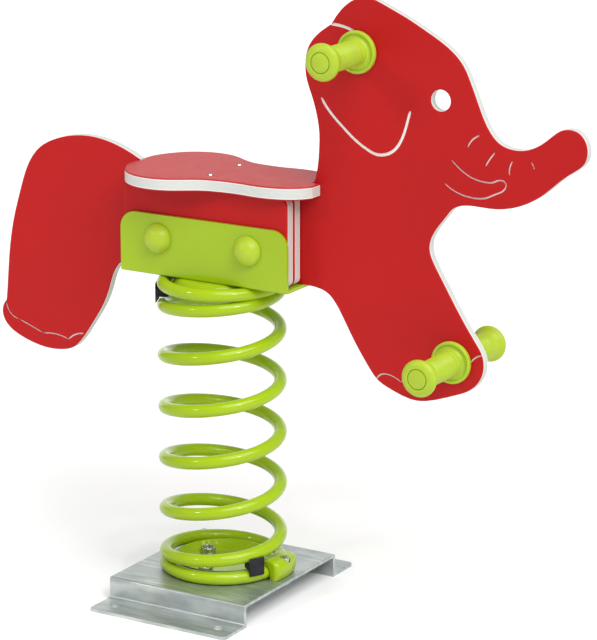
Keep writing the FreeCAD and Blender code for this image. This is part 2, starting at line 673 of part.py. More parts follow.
FRONT_TOES = [[(264, 367), (273, 376), (283, 377), (304, 369)],
              [(304, 369), (326, 384), (352, 386), (374, 379)],
              [(374, 379), (390, 397), (412, 409)], [(412, 409), (421, 421), (433, 427)]]


def groove(points, width, depth):
    """A slot along a curve, narrower at its ends, sunk into both faces of the panel."""
    curve = Part.BSplineCurve()
    curve.interpolate([V(x, 0, z) for x, z in Elephant.run(*points)])
    first, last = curve.FirstParameter, curve.LastParameter
    count = 4 * (len(points) - 1)
    banks = ([], [])
    for i in range(count + 1):
        at = first + (last - first) * i / count
        along = curve.tangent(at)[0]
        across = V(-along.z, 0, along.x)
        half_width = width / 2 * (0.45 if i in (0, count) else 1)
        banks[0].append(curve.value(at) + across * half_width)
        banks[1].append(curve.value(at) - across * half_width)
    sides = []
    for bank in banks:
        side = Part.BSplineCurve()
        side.interpolate(bank)
        sides.append(side.toShape())
    ends = [Part.makeLine(banks[0][i], banks[1][i]) for i in (0, -1)]
    face = Part.Face(Part.Wire(Part.__sortEdges__(sides + ends)))
    half = value("panel_board / 2")
    solids = []
    for way in (1, -1):
        sunk = face.copy()
        sunk.translate(V(0, way * (half - depth), 0))
        solids.append(sunk.extrude(V(0, way * (depth + 1), 0)))
    return solids


def make_panel():
    body = new_body("panel_blank")
    outline = new_sketch(body, "panel_outline", "XZ_Plane")
    spline(outline, Elephant.run(*RUMP))
    spline(outline, Elephant.run(*HIND_FOOT))
    straight(outline, *Elephant.run((-158, 490), (142, 490)))
    spline(outline, Elephant.run(*FRONT_LEG))
    spline(outline, Elephant.run(*TRUNK_UNDER))
    straight(outline, *Elephant.run((190, 876), (186, 871)))
    spline(outline, Elephant.run(*EAR_BACK))
    notch, neck, seat = Elephant.notch, Elephant.neck, Elephant.seat
    straight(outline, Elephant.place(158, 640), (neck, seat), (notch, seat), Elephant.place(-136, 647))
    pad(body, "panel_thickness", outline, "panel_board", midplane=True)
    holes = new_sketch(body, "panel_holes", "XZ_Plane")
    add_circle(holes, "eye_x", "eye_z", "eye_radius")
    add_circle(holes, "handle_x", "handle_z", "rod_radius + hole_clearance")
    add_circle(holes, "footrest_x", "footrest_z", "rod_radius + hole_clearance")
    for side in ("-1", "1"):
        add_circle(holes, f"{side} * saddle_bolt_offset", SADDLE_BOLT_Z,
                   "saddle_bolt_radius + hole_clearance")
    pocket(body, "panel_drilling", holes)
    wide, fine, depth = value("groove_width"), value("fine_groove_width"), value("groove_depth")
    cuts = groove(EAR_GROOVE, wide, depth) + groove(EAR_TOP_GROOVE, wide, depth)
    for line in [MOUTH_GROOVE] + FOLDS + HIND_TOES + FRONT_TOES:
        cuts += groove(line, fine, depth)
    cutter = doc.addObject("Part::Feature", "groove_cutter")
    cutter.Shape = cuts[0].multiFuse(cuts[1:])
    panel = boolean("Cut", "body_panel", body, cutter)
    panel.Label = "body_panel"
    keep(panel)


def make_spacers():
    """Two boards on each side fill the saddle beside the panel."""
    for side, (sign, _) in SIDES.items():
        for layer, name in enumerate(("inner", "outer")):
            label = f"{name}_spacer_{side}"
            body = new_body(label)
            middle = f"{sign} * (panel_board / 2 + {layer + 0.5} * spacer_board + {layer} * seat_gap / 4)"
            outline = new_sketch(body, f"{label}_outline", "XZ_Plane", offset=f"-({middle})")
            end = "spacer_length / 2"
            add_polygon(outline, [
                (f"-{end}", BOARD_BOTTOM), (end, BOARD_BOTTOM), (end, SEAT_UNDER), (f"-{end}", SEAT_UNDER)])
            board = pad(body, f"{label}_board", outline, "spacer_board - seat_gap / 4", midplane=True)
            doc.recompute()
            corners = edges_where(body.Shape, lambda e: runs_along(e, V(0, 1, 0)))
            fillet(body, f"{label}_corners", board, corners, "spacer_corner")
            holes = new_sketch(body, f"{label}_holes", "XZ_Plane")
            for way in ("-1", "1"):
                add_circle(holes, f"{way} * saddle_bolt_offset", SADDLE_BOLT_Z,
                           "saddle_bolt_radius + hole_clearance")
            pocket(body, f"{label}_drilling", holes)
            if name == "inner":
                keep(body)
                continue
            pilot = cylinder(f"{label}_pilot", "seat_screw_radius + cap_gap", "seat_screw_length",
                             x="seat_screw_x", y=f"{sign} * seat_screw_spread / 2",
                             z="seat_level - seat_screw_length - 1")
            body.Label = f"{label}_blank"
            drilled = boolean("Cut", f"{label}_drilled", body, pilot)
            drilled.Label = label
            keep(drilled)


def make_seat():
    """A peanut-shaped board, slotted at both ends for the panel."""
    rear, front = value("seat_rear"), value("seat_front")
    rump, waist, nose = value("seat_rear_half"), value("seat_waist_half"), value("seat_front_half")
    body = new_body("seat_blank")
    outline = new_sketch(body, "seat_outline", "XY_Plane", offset=SEAT_UNDER)
    near = [(rear, 0.3 * rump), (rear + 12, 0.6 * rump), (rear + 36, 0.87 * rump), (rear + 74, rump),
            (rear + 112, 0.92 * rump), (rear + 150, waist + 6), (rear + 180, waist),
            (rear + 215, waist), (front - 80, nose), (front - 40, nose - 3),
            (front - 13, nose - 17), (front, 0.45 * nose)]
    spline(outline, near)
    spline(outline, [(x, -y) for x, y in near])
    straight(outline, (rear, 0.3 * rump), (rear, -0.3 * rump))
    straight(outline, (front, 0.45 * nose), (front, -0.45 * nose))
    pad(body, "seat_thickness", outline, "seat_board")
    slots = new_sketch(body, "seat_slots", "XY_Plane")
    half = "(panel_board / 2 + 3 * seat_gap)"
    for inner, outer in (("panel_rear_notch + 2 * seat_gap", "seat_rear - 10"),
                         ("panel_neck - 2 * seat_gap", "seat_front + 10")):
        add_polygon(slots, [(inner, f"-{half}"), (outer, f"-{half}"), (outer, half), (inner, half)])
    pocket(body, "seat_slotting", slots)
    screws, sinks = [], []
    for sign in ("-1", "1"):
        at = {"x": "seat_screw_x", "y": f"{sign} * seat_screw_spread / 2"}
        head = cone(f"seat_head{sign}", "seat_screw_radius", "seat_screw_head", "3", z="seat_level - 3", **at)
        shank = cylinder(f"seat_shank{sign}", "seat_screw_radius", "seat_screw_length - 3",
                         z="seat_level - seat_screw_length", **at)
        screws.append(boolean("Fuse", f"seat_screw{sign}", head, shank))
        bore = cylinder(f"seat_bore{sign}", "seat_screw_radius + cap_gap", "seat_board + 2",
                        z=f"{SEAT_UNDER} - 1", **at)
        sink = cone(f"seat_sink{sign}", "seat_screw_radius + cap_gap", "seat_screw_head + cap_gap",
                    "3.01", z="seat_level - 3", **at)
        sinks.append(boolean("Fuse", f"seat_hole{sign}", bore, sink))
    seat = boolean("Cut", "seat_board_cut", body, group("seat_holes", sinks))
    seat.Label = "seat_board"
    keep(seat, group("seat_screws", screws))


# ---------------------------------------------------------------- saddle bolts and their caps
def make_saddle_bolts():
    bolts, washers, nuts, bases, domes = [], [], [], [], []
    face = f"({SADDLE_OUTER} + bolt_cap_base)"
    for i, way in enumerate(("-1", "1")):
        x = f"{way} * saddle_bolt_offset"
        reach = f"({face} + washer_plate)"
        head = hexagon(f"cross_head_{i}", "saddle_hex", "cross_head", x=x, y=f"-{reach}", z=SADDLE_BOLT_Z,
                       rotation=TO_RIGHT)
        shank = cylinder(f"cross_shank_{i}", "saddle_bolt_radius", f"2 * {reach} + cross_tail",
                         x=x, y=f"-{reach}", z=SADDLE_BOLT_Z, rotation=TO_LEFT)
        bolts.append(boolean("Fuse", f"cross_bolt_{i}", head, shank))
        blank = hexagon(f"cross_nut_blank_{i}", "saddle_hex", "cross_nut", x=x, y=reach, z=SADDLE_BOLT_Z,
                        rotation=TO_LEFT)
        bore = cylinder(f"cross_nut_bore_{i}", "saddle_bolt_radius", "cross_nut", x=x, y=reach,
                        z=SADDLE_BOLT_Z, rotation=TO_LEFT)
        nuts.append(boolean("Cut", f"cross_nut_{i}", blank, bore))
        for side, (sign, turn) in SIDES.items():
            at = {"x": x, "z": SADDLE_BOLT_Z, "rotation": turn}
            washers.append(ring(f"cross_washer_{side}_{i}", "saddle_bolt_radius + hole_clearance",
                                "saddle_hex / 2 + 2.5", "washer_plate", y=f"{sign} * {face}", **at))
            bases.append(ring(f"cap_base_{side}_{i}", "saddle_bolt_radius + hole_clearance",
                              "bolt_cap_radius", "bolt_cap_base", y=f"{sign} * {SADDLE_OUTER}", **at))
            domes.append(make_dome(f"{side}_{i}", y=f"{sign} * ({face} + cap_gap)", **at))
    keep(group("saddle_bolts", bolts), group("saddle_washers", washers), group("saddle_nuts", nuts),
         group("bolt_cap_bases", bases), group("bolt_cap_domes", domes))


def make_dome(name, **place):
    """A shallow hollow dome, open below, standing on its rim."""
    shells = []
    for part, wall in (("outside", "0"), ("inside", "bolt_cap_wall")):
        rim, rise = f"(bolt_cap_radius - {wall})", f"(bolt_cap_height - {wall})"
        sphere = doc.addObject("Part::Sphere", f"dome_{part}_{name}")
        radius = f"(({rim}^2 + {rise}^2) / 2 / {rise})"
        bind(sphere, Radius=radius, Angle1=f"asin(({radius} - {rise}) / {radius})")
        stand(sphere, z=f"{rise} - {radius}")
        shells.append(sphere)
    return stand(boolean("Cut", f"dome_{name}", *shells), **place)


# ---------------------------------------------------------------- handle and footrest
def make_grip(label, x, z, side):
    """A moulded grip on the rod, with a pocket at its outer end for the rod's nut."""
    sign, turn = SIDES[side]
    bore, length = "rod_radius + hole_clearance", "grip_length"
    inner, outer, barrel = "grip_inner_flange", "grip_outer_flange", "grip_radius"
    pocket_radius = "grip_cap - 3"
    body = turned_body(label, [
        (bore, "0"), (f"{inner} - 3", "0"), (inner, "3"), (inner, "7"), (f"{inner} - 2.5", "9"),
        (f"{inner} - 6", "8"), (f"{inner} - 7", "11"), (f"{barrel} + 3", "13"), (barrel, "17"),
        (barrel, f"{length} - 24"), (f"{barrel} + 1.5", f"{length} - 18"),
        (f"{outer} - 4", f"{length} - 13"), (f"{outer} - 0.8", f"{length} - 10"),
        (outer, f"{length} - 6"), (f"{outer} - 2", f"{length} - 2"), (f"{outer} - 6", length),
        ("grip_cap", length), ("grip_cap", f"{length} - 3"), (pocket_radius, f"{length} - 3"),
        (pocket_radius, f"{length} - grip_pocket"), (bore, f"{length} - grip_pocket")])
    stand(body, x=x, y=f"{sign} * (panel_board / 2 + seat_gap / 2)", z=z, rotation=turn)
    cap = turned_body(f"{label}_cap", [
        ("0", f"{length} - 2.8"), ("grip_cap - cap_gap", f"{length} - 2.8"),
        ("grip_cap - cap_gap", f"{length} - 0.3"), ("grip_cap - 2", f"{length} + 0.6"),
        ("0", f"{length} + 1.2")])
    stand(cap, x=x, y=f"{sign} * (panel_board / 2 + seat_gap / 2)", z=z, rotation=turn)
    cap.Label = label.replace("grip", "cap")
    keep(body, cap)


def make_rider_grips():
    for name, x, z in (("handle", "handle_x", "handle_z"), ("footrest", "footrest_x", "footrest_z")):
        reach = "(panel_board / 2 + seat_gap / 2 + grip_length - grip_pocket)"
        washers, nuts = [], []
        for side, (sign, turn) in SIDES.items():
            make_grip(f"{name}_grip_{side}", x, z, side)
            at = {"x": x, "z": z, "rotation": turn}
            washers.append(ring(f"{name}_washer_{side}", "rod_radius + hole_clearance / 2",
                                "grip_cap - 4", "rod_washer", y=f"{sign} * {reach}", **at))
            level = f"{sign} * ({reach} + rod_washer)"
            blank = hexagon(f"{name}_nut_blank_{side}", "clamp_hex", "rod_nut", y=level, **at)
            bore = cylinder(f"{name}_nut_bore_{side}", "rod_radius", "rod_nut", y=level, **at)
            nuts.append(boolean("Cut", f"{name}_nut_{side}", blank, bore))
        rod = cylinder(f"{name}_rod", "rod_radius", f"2 * ({reach} + rod_tail)", x=x,
                       y=f"-({reach} + rod_tail)", z=z, rotation=TO_LEFT)
        rod.Label = f"{name}_rod"
        keep(rod, group(f"{name}_washers", washers), group(f"{name}_nuts", nuts))


make_base_plate()
make_lower_clamp()
make_spring()
make_lower_claw()
make_upper_claw()
make_wedges()
make_saddle()
make_upper_clamp()
make_panel()
make_spacers()
make_seat()
make_saddle_bolts()
make_rider_grips()

# ---------------------------------------------------------------- check and write
doc.recompute()
for item in doc.Objects:
    if "Invalid" in item.State or "Error" in item.State:
        raise RuntimeError(f"{item.Label} did not build")
for node in nodes:
    shape = node.Shape
    if shape.isNull() or not shape.isValid() or not shape.Solids:
        raise RuntimeError(f"{node.Label} has no sound solid")
os.makedirs("parts", exist_ok=True)
for node in nodes:
    node.Shape.exportStep(f"parts/{node.Label}.step")
    print(f"{node.Label}: {len(node.Shape.Solids)} solid, {node.Shape.Volume / 1000:.1f} cm3")
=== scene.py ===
"""Elephant spring rider: its visible pieces, finishes, floor, lights and camera.

Everything is in metres in the frame of the CAD model: +Z up, +X the way the rider
faces, +Y the rider's left, and the origin on the ground under the spring's axis.
"""
import json
import math

import bmesh
import bpy
from mathutils import Matrix, Vector


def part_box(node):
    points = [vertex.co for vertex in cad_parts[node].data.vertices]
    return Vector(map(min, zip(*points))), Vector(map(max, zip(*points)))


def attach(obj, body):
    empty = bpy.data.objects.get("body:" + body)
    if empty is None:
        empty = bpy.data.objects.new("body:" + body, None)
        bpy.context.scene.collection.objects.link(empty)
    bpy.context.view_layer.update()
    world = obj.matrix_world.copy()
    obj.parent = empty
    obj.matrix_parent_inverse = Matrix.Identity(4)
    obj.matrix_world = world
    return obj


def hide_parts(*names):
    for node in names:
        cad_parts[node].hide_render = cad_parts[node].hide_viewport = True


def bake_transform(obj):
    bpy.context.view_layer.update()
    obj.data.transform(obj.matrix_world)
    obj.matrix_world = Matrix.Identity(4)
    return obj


bl_info = {
    "name": "Elephant spring rider",
    "version": (1, 0, 0),
    "blender": (4, 5, 0),
    "location": "3D View > Sidebar > Spring rider",
    "description": "Models and finishes a playground spring rider around its CAD frame",
    "category": "Add Mesh",
}

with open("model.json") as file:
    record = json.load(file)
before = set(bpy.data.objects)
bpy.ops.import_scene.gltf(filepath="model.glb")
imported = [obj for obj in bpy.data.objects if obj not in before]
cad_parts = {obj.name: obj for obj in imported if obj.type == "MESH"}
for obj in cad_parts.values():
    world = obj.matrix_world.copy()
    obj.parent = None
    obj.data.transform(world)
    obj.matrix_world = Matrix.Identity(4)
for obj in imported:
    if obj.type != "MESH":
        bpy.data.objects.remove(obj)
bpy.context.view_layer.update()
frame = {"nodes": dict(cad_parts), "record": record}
NODES = frame["nodes"]
MM = 0.001
FULL_TURN = 2 * math.pi
UP = Vector((0, 0, 1))
LEFT = Vector((0, 1, 0))

PLATE_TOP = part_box("base_plate")[1].z
SADDLE_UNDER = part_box("saddle_bracket")[0].z
WIRE_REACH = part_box("spring_middle_turns")[1].x


# ---------------------------------------------------------------- sizes and colours
def length(name, description, default):
    return bpy.props.FloatProperty(name=name, description=description, default=default,
                                   unit="LENGTH", precision=4)


def angle(name, description, degrees):
    return bpy.props.FloatProperty(name=name, description=description,
                                   default=math.radians(degrees), unit="ROTATION")


def colour(name, description, default):
    return bpy.props.FloatVectorProperty(name=name, description=description, default=default,
                                         size=3, min=0, max=1, subtype="COLOR")


class SpringSizes(bpy.types.PropertyGroup):
    wire: length("Wire", "Diameter of the spring's wire", 0.019)
    pitch: length("Pitch", "Rise of the open turns in one turn", 0.0787)
    seat_gap: length("Seat gap", "Gap between the wire and the plates it stands on", 0.0002)
    lift: angle("Lift angle", "Where the helix would leave the base plate", -167.3)
    closing: angle("Closing angle", "Turn over which the helix flattens at each end", 260)
    dead_turn: angle("Lower dead turn", "Turn of wire below the lift angle", 362)
    upper_turn: angle("Upper dead turn", "Turn of wire beyond the last open turn", 362)
    end_round: length("End rounding", "Rounding of the wire's cut ends", 0.002)
    sides: bpy.props.IntProperty(name="Sides", description="Flats around the wire", default=28, min=8)
    step: angle("Step", "Turn between two rings of the wire's mesh", 4)


class BoardSizes(bpy.types.PropertyGroup):
    rounding: length("Edge rounding", "Radius of the boards' routed edges", 0.0024)
    panel_skin: length("Panel skin", "Depth of the panel's coloured skin over its core", 0.0015)
    seat_skin: length("Seat skin", "Depth of the seat's coloured skin over its core", 0.0021)
    spacer_skin: length("Spacer skin", "Depth of the spacers' coloured skin over their core", 0.0030)
    seat_gloss: bpy.props.FloatProperty(name="Seat gloss", description="Specular level of the seat",
                                        default=0.75)
    gloss: bpy.props.FloatProperty(name="Board gloss", description="Specular level of the other boards",
                                   default=0.2)


class GripSizes(bpy.types.PropertyGroup):
    barrel: length("Barrel", "Radius of the hand grip", 0.0172)
    inner_flange: length("Inner flange", "Radius of the flange against the panel", 0.0305)
    knob: length("Knob", "Radius of the grip's outer knob", 0.0265)
    cap: length("Cap", "Radius of the round cap in the knob", 0.0140)
    ribs: bpy.props.IntProperty(name="Ribs", description="Fine ribs round the barrel", default=13, min=4)
    rib_height: length("Rib height", "How far a rib stands out", 0.0013)


class SteelSizes(bpy.types.PropertyGroup):
    edge: length("Edge", "Softened edge of cut and bent steel", 0.0009)
    fastener_edge: length("Fastener edge", "Softened edge of washers, nuts and screws", 0.0007)
    screw_edge: length("Seat screw edge", "Softened edge of the seat's screw heads", 0.0002)
    rubber_edge: length("Rubber edge", "Rounding of the rubber wedges", 0.0011)
    dish_wall: length("Dish wall", "Thickness of the pressed dishes", 0.004)
    bolt_circle: length("Bolt circle", "Radius of the circle of lower clamp bolts", 0.050)
    lower_claw_turn: angle("Lower claw", "Turn of the lower claw round the spring's axis", 4)
    upper_claw_back: angle("Upper claw", "Turn of the upper claw back from the wire's end", 197.9)


class Finishes(bpy.types.PropertyGroup):
    red: colour("Red skin", "Coloured skin of the boards", (0.405, 0.0045, 0.005))
    core: colour("Pale core", "Core of the boards", (0.60, 0.615, 0.585))
    green_coat: colour("Green coat", "Powder coat on the spring and steel", (0.318, 0.465, 0.003))
    green_plastic: colour("Green plastic", "Grips and bolt caps", (0.375, 0.505, 0.028))
    galvanised: colour("Galvanised steel", "Base plate", (0.51, 0.545, 0.515))
    zinc: colour("Zinc", "Bolts, washers and nuts", (0.50, 0.50, 0.49))
    rubber: colour("Rubber", "Wedges in the spring's ends", (0.013, 0.012, 0.016))
    floor: colour("Floor", "Plain floor", (0.93, 0.93, 0.93))


class StageSizes(bpy.types.PropertyGroup):
    azimuth: angle("Azimuth", "Turn of the camera from the rider's right side", 30.93)
    elevation: angle("Elevation", "Height of the camera above level", 15.16)
    distance: length("Distance", "From the camera to the point it looks at", 4.395)
    aim_side: length("Aim sideways", "Point looked at, to the camera's right of the axis", 0.112)
    aim_height: length("Aim height", "Height of the point looked at", 0.4164)
    lens: bpy.props.FloatProperty(name="Lens", description="Focal length on a 36 mm sensor, in mm",
                                  default=168.75)


# ---------------------------------------------------------------- node tree helpers
class Tree:
    """A shader node tree with short ways to add and join nodes."""

    def __init__(self, tree):
        self.tree = tree
        self.column = 0

    def add(self, kind, inputs=None, **settings):
        node = self.tree.nodes.new(kind)
        self.column += 1
        node.location = (180 * self.column, -40 * (self.column % 5))
        for name, setting in settings.items():
            setattr(node, name, setting)
        for socket, source in (inputs or {}).items():
            if isinstance(source, bpy.types.NodeSocket):
                self.tree.links.new(source, node.inputs[socket])
            else:
                node.inputs[socket].default_value = source
        return node

    def maths(self, operation, *sources, clamp=False):
        inputs = dict(enumerate(sources))
        return self.add("ShaderNodeMath", inputs, operation=operation, use_clamp=clamp).outputs[0]

    def blend(self, amount, first, second):
        """A colour between two colours."""
        node = self.add("ShaderNodeMix", {0: amount, 6: first, 7: second}, data_type="RGBA")
        return node.outputs[2]

    def between(self, source, low, high, to_low=0.0, to_high=1.0):
        """A smooth step of a value from one range to another."""
        inputs = {0: source, 1: low, 2: high, 3: to_low, 4: to_high}
        return self.add("ShaderNodeMapRange", inputs, interpolation_type="SMOOTHSTEP").outputs[0]

    def noise(self, place, scale, detail=3.0, roughness=0.5):
        inputs = {"Vector": place, "Scale": scale, "Detail": detail, "Roughness": roughness}
        return self.add("ShaderNodeTexNoise", inputs).outputs["Fac"]


def shader_group(name, inputs, outputs):
    """A new node group, and its tree, input node and output node."""
    group = bpy.data.node_groups.new(name, "ShaderNodeTree")
    for socket, default in inputs.items():
        kind = "NodeSocketVector" if isinstance(default, tuple) else "NodeSocketFloat"
        group.interface.new_socket(socket, in_out="INPUT", socket_type=kind).default_value = default
    for socket, kind in outputs.items():
        group.interface.new_socket(socket, in_out="OUTPUT", socket_type=kind)
    tree = Tree(group)
    return group, tree, tree.add("NodeGroupInput"), tree.add("NodeGroupOutput")


def grain_group():
    """Fine all-over grain: a value for colour and roughness, and a bumped normal."""
    group, tree, given, out = shader_group(
        "Moulded grain", {"Scale": 900.0, "Height": 0.0001, "Strength": 0.3},
        {"Value": "NodeSocketFloat", "Normal": "NodeSocketVector"})
    place = tree.add("ShaderNodeTexCoord").outputs["Object"]
    grain = tree.noise(place, given.outputs["Scale"], detail=2.0, roughness=0.6)
    bump = tree.add("ShaderNodeBump", {"Strength": given.outputs["Strength"],
                                       "Distance": given.outputs["Height"], "Height": grain})
    tree.tree.links.new(grain, out.inputs["Value"])
    tree.tree.links.new(bump.outputs["Normal"], out.inputs["Normal"])
    return group


def cloud_group():
    """Soft patches, drawn out along one direction by the stretch."""
    group, tree, given, out = shader_group(
        "Soft patches", {"Scale": 12.0, "Stretch": (1.0, 1.0, 1.0), "Detail": 4.0},
        {"Mask": "NodeSocketFloat"})
    place = tree.add("ShaderNodeTexCoord").outputs["Object"]
    drawn = tree.add("ShaderNodeVectorMath", {0: place, 1: given.outputs["Stretch"]},
                     operation="MULTIPLY").outputs[0]
    cloud = tree.noise(drawn, given.outputs["Scale"], detail=given.outputs["Detail"])
    tree.tree.links.new(tree.between(cloud, 0.3, 0.7), out.inputs["Mask"])
    return group


def core_group():
    """Where a board shows its core: nearer to its middle plane than its skins are."""
    group, tree, given, out = shader_group(
        "Board core", {"Across": (0.0, 1.0, 0.0), "Middle": 0.0, "Core half": 0.006},
        {"Mask": "NodeSocketFloat"})
    place = tree.add("ShaderNodeTexCoord").outputs["Object"]
    along = tree.add("ShaderNodeVectorMath", {0: place, 1: given.outputs["Across"]},
                     operation="DOT_PRODUCT").outputs["Value"]
    depth = tree.maths("ABSOLUTE", tree.maths("SUBTRACT", along, given.outputs["Middle"]))
    past = tree.maths("SUBTRACT", given.outputs["Core half"], depth)
    blur = 0.12 * MM
    tree.tree.links.new(tree.between(past, -blur, blur), out.inputs["Mask"])
    return group


def dust_group():
    """A faint settling of dust on faces that look up."""
    group, tree, given, out = shader_group(
        "Settled dust", {"Amount": 0.1, "Scale": 60.0}, {"Mask": "NodeSocketFloat"})
    coordinates = tree.add("ShaderNodeTexCoord")
    facing = tree.add("ShaderNodeSeparateXYZ", {0: coordinates.outputs["Normal"]}).outputs["Z"]
    level = tree.between(facing, 0.55, 1.0)
    speckle = tree.noise(coordinates.outputs["Object"], given.outputs["Scale"], detail=6.0)
    patchy = tree.maths("MULTIPLY", level, tree.between(speckle, 0.35, 0.75))
    tree.tree.links.new(tree.maths("MULTIPLY", patchy, given.outputs["Amount"]), out.inputs["Mask"])
    return group


GROUP_MAKERS = {"grain": grain_group, "patches": cloud_group, "core": core_group, "dust": dust_group}
groups = {}


def shared(tree, name, **inputs):
    """Place a shared group in a material, with its own values."""
    if name not in groups:
        groups[name] = GROUP_MAKERS[name]()
    node = tree.add("ShaderNodeGroup", node_tree=groups[name])
    for socket, setting in inputs.items():
        node.inputs[socket.replace("_", " ").capitalize()].default_value = setting
    return node


# ---------------------------------------------------------------- materials
DUST_ON_BOARD = (0.75, 0.72, 0.68, 1)
DUST_ON_COAT = (0.75, 0.74, 0.66, 1)
ZINC_SPANGLE = (0.66, 0.70, 0.72, 1)
DULLED_ZINC = (0.33, 0.39, 0.44, 1)


def new_material(name):
    """A material with a Principled shader; the tree and the shader."""
    material = bpy.data.materials.new(name)
    material.use_nodes = True
    tree = Tree(material.node_tree)
    shader = material.node_tree.nodes["Principled BSDF"]
    return material, tree, shader


def set_surface(tree, shader, base, roughness, normal=None, **constants):
    tree.tree.links.new(base, shader.inputs["Base Color"])
    tree.tree.links.new(roughness, shader.inputs["Roughness"])
    if normal:
        tree.tree.links.new(normal, shader.inputs["Normal"])
    for socket, setting in constants.items():
        shader.inputs[socket.replace("_", " ")].default_value = setting


def shade(rgb, factor):
    return (rgb[0] * factor, rgb[1] * factor, rgb[2] * factor, 1)


def finishes():
    return bpy.context.scene.rider_finishes


def board_material(name, across, middle, thickness, skin, gloss):
    """Two-colour board: red skins with a pebbled grain, and a pale core at its edges, painted lighter
    next to the skins (painted light on the groove floors and the rounded edges).
    """
    look = finishes()
    material, tree, shader = new_material(name)
    grain = shared(tree, "grain", scale=1500.0, height=0.00012, strength=0.45)
    patches = shared(tree, "patches", scale=5.0, detail=3.0)
    routed = shared(tree, "patches", scale=90.0, stretch=tuple(1 + 14 * a for a in across))
    core = shared(tree, "core", across=tuple(across), middle=middle,
                  core_half=thickness / 2 - skin)
    dust = shared(tree, "dust", amount=0.03)
    red = tree.blend(patches.outputs["Mask"], shade(look.red, 0.94), shade(look.red, 1.06))
    pebbled = tree.blend(tree.between(grain.outputs["Value"], 0.35, 0.7), red, shade(look.red, 1.22))
    # Painted light: the core within 0.8 mm of the skins, where the groove floors lie, is painted 1.45
    # times lighter to undo their shade.
    painted_light_band = shared(tree, "core", across=tuple(across), middle=middle,
                       core_half=thickness / 2 - skin - 0.8 * MM)
    routed_core = tree.blend(routed.outputs["Mask"], shade(look.core, 0.9), shade(look.core, 1.0))
    core_with_painted_light = tree.blend(painted_light_band.outputs["Mask"], shade(look.core, 1.45), routed_core)
    two_colour = tree.blend(core.outputs["Mask"], pebbled, core_with_painted_light)
    base = tree.blend(dust.outputs["Mask"], two_colour, DUST_ON_BOARD)
    rough = tree.between(grain.outputs["Value"], 0.2, 0.8, 0.42, 0.56)
    set_surface(tree, shader, base, rough, grain.outputs["Normal"], Specular_IOR_Level=gloss)
    return material


def green_coat_material():
    """Glossy powder coat with a slight orange peel."""
    look = finishes()
    material, tree, shader = new_material("green_coat")
    peel = shared(tree, "grain", scale=140.0, height=0.00008, strength=0.06)
    patches = shared(tree, "patches", scale=7.0, detail=3.0)
    dust = shared(tree, "dust", amount=0.02)
    coat = tree.blend(patches.outputs["Mask"], shade(look.green_coat, 0.95), shade(look.green_coat, 1.05))
    base = tree.blend(dust.outputs["Mask"], coat, DUST_ON_COAT)
    rough = tree.between(peel.outputs["Value"], 0.25, 0.75, 0.30, 0.38)
    set_surface(tree, shader, base, rough, peel.outputs["Normal"], Specular_IOR_Level=0.12,
                Coat_Weight=0.5, Coat_Roughness=0.03)
    return material


def green_plastic_material():
    """Moulded plastic with a fine texture and a soft gloss."""
    look = finishes()
    material, tree, shader = new_material("green_plastic")
    grain = shared(tree, "grain", scale=1100.0, height=0.00008, strength=0.35)
    patches = shared(tree, "patches", scale=25.0, detail=3.0)
    plain = tree.blend(patches.outputs["Mask"], shade(look.green_plastic, 0.94),
                       shade(look.green_plastic, 1.05))
    base = tree.blend(tree.between(grain.outputs["Value"], 0.45, 0.75), plain,
                      shade(look.green_plastic, 1.12))
    rough = tree.between(grain.outputs["Value"], 0.25, 0.75, 0.30, 0.42)
    set_surface(tree, shader, base, rough, grain.outputs["Normal"], Specular_IOR_Level=0.3,
                Subsurface_Weight=0.05, Subsurface_Scale=0.004)
    return material


def galvanised_material():
    """Hot-dip zinc: grey and bluish spangles, run along the plate, dulled in patches."""
    look = finishes()
    material, tree, shader = new_material("galvanised_steel")
    place = tree.add("ShaderNodeTexCoord").outputs["Object"]
    streaks = shared(tree, "patches", scale=55.0, stretch=(0.35, 2.6, 1.0), detail=6.0)
    patches = shared(tree, "patches", scale=14.0, detail=5.0)
    grain = shared(tree, "grain", scale=420.0, height=0.0001, strength=0.22)
    spangle = tree.add("ShaderNodeTexVoronoi", {"Vector": place, "Scale": 150.0}).outputs["Color"]
    tone = tree.add("ShaderNodeSeparateColor", {0: spangle}).outputs[0]
    grey = tree.blend(streaks.outputs["Mask"], shade(look.galvanised, 0.78), shade(look.galvanised, 1.22))
    spangled = tree.blend(tree.maths("MULTIPLY", tone, 0.22), grey, ZINC_SPANGLE)
    cool = tree.maths("MULTIPLY", patches.outputs["Mask"], 0.35)
    base = tree.blend(cool, spangled, DULLED_ZINC)
    worn = tree.maths("ADD", tree.maths("MULTIPLY", tone, 0.10),
                      tree.maths("MULTIPLY", patches.outputs["Mask"], 0.12))
    rough = tree.maths("ADD", worn, 0.30)
    set_surface(tree, shader, base, rough, grain.outputs["Normal"], Metallic=0.86)
    return material


def zinc_material():
    """Bright plated fasteners with fine turning marks and dull patches."""
    look = finishes()
    material, tree, shader = new_material("zinc_plate")
    grain = shared(tree, "grain", scale=800.0, height=0.00005, strength=0.25)
    patches = shared(tree, "patches", scale=120.0, detail=4.0)
    base = tree.blend(patches.outputs["Mask"], shade(look.zinc, 0.88), shade(look.zinc, 1.12))
    rough = tree.between(patches.outputs["Mask"], 0.0, 1.0, 0.16, 0.32)
    set_surface(tree, shader, base, rough, grain.outputs["Normal"], Metallic=1.0)
    return material


def rubber_material():
    """Matt moulded rubber, a little uneven."""
    look = finishes()
    material, tree, shader = new_material("black_rubber")
    grain = shared(tree, "grain", scale=700.0, height=0.0001, strength=0.4)
    patches = shared(tree, "patches", scale=80.0)
    base = tree.blend(patches.outputs["Mask"], shade(look.rubber, 0.8), shade(look.rubber, 1.6))
    rough = tree.between(grain.outputs["Value"], 0.2, 0.8, 0.48, 0.66)
    set_surface(tree, shader, base, rough, grain.outputs["Normal"], Specular_IOR_Level=0.25)
    return material


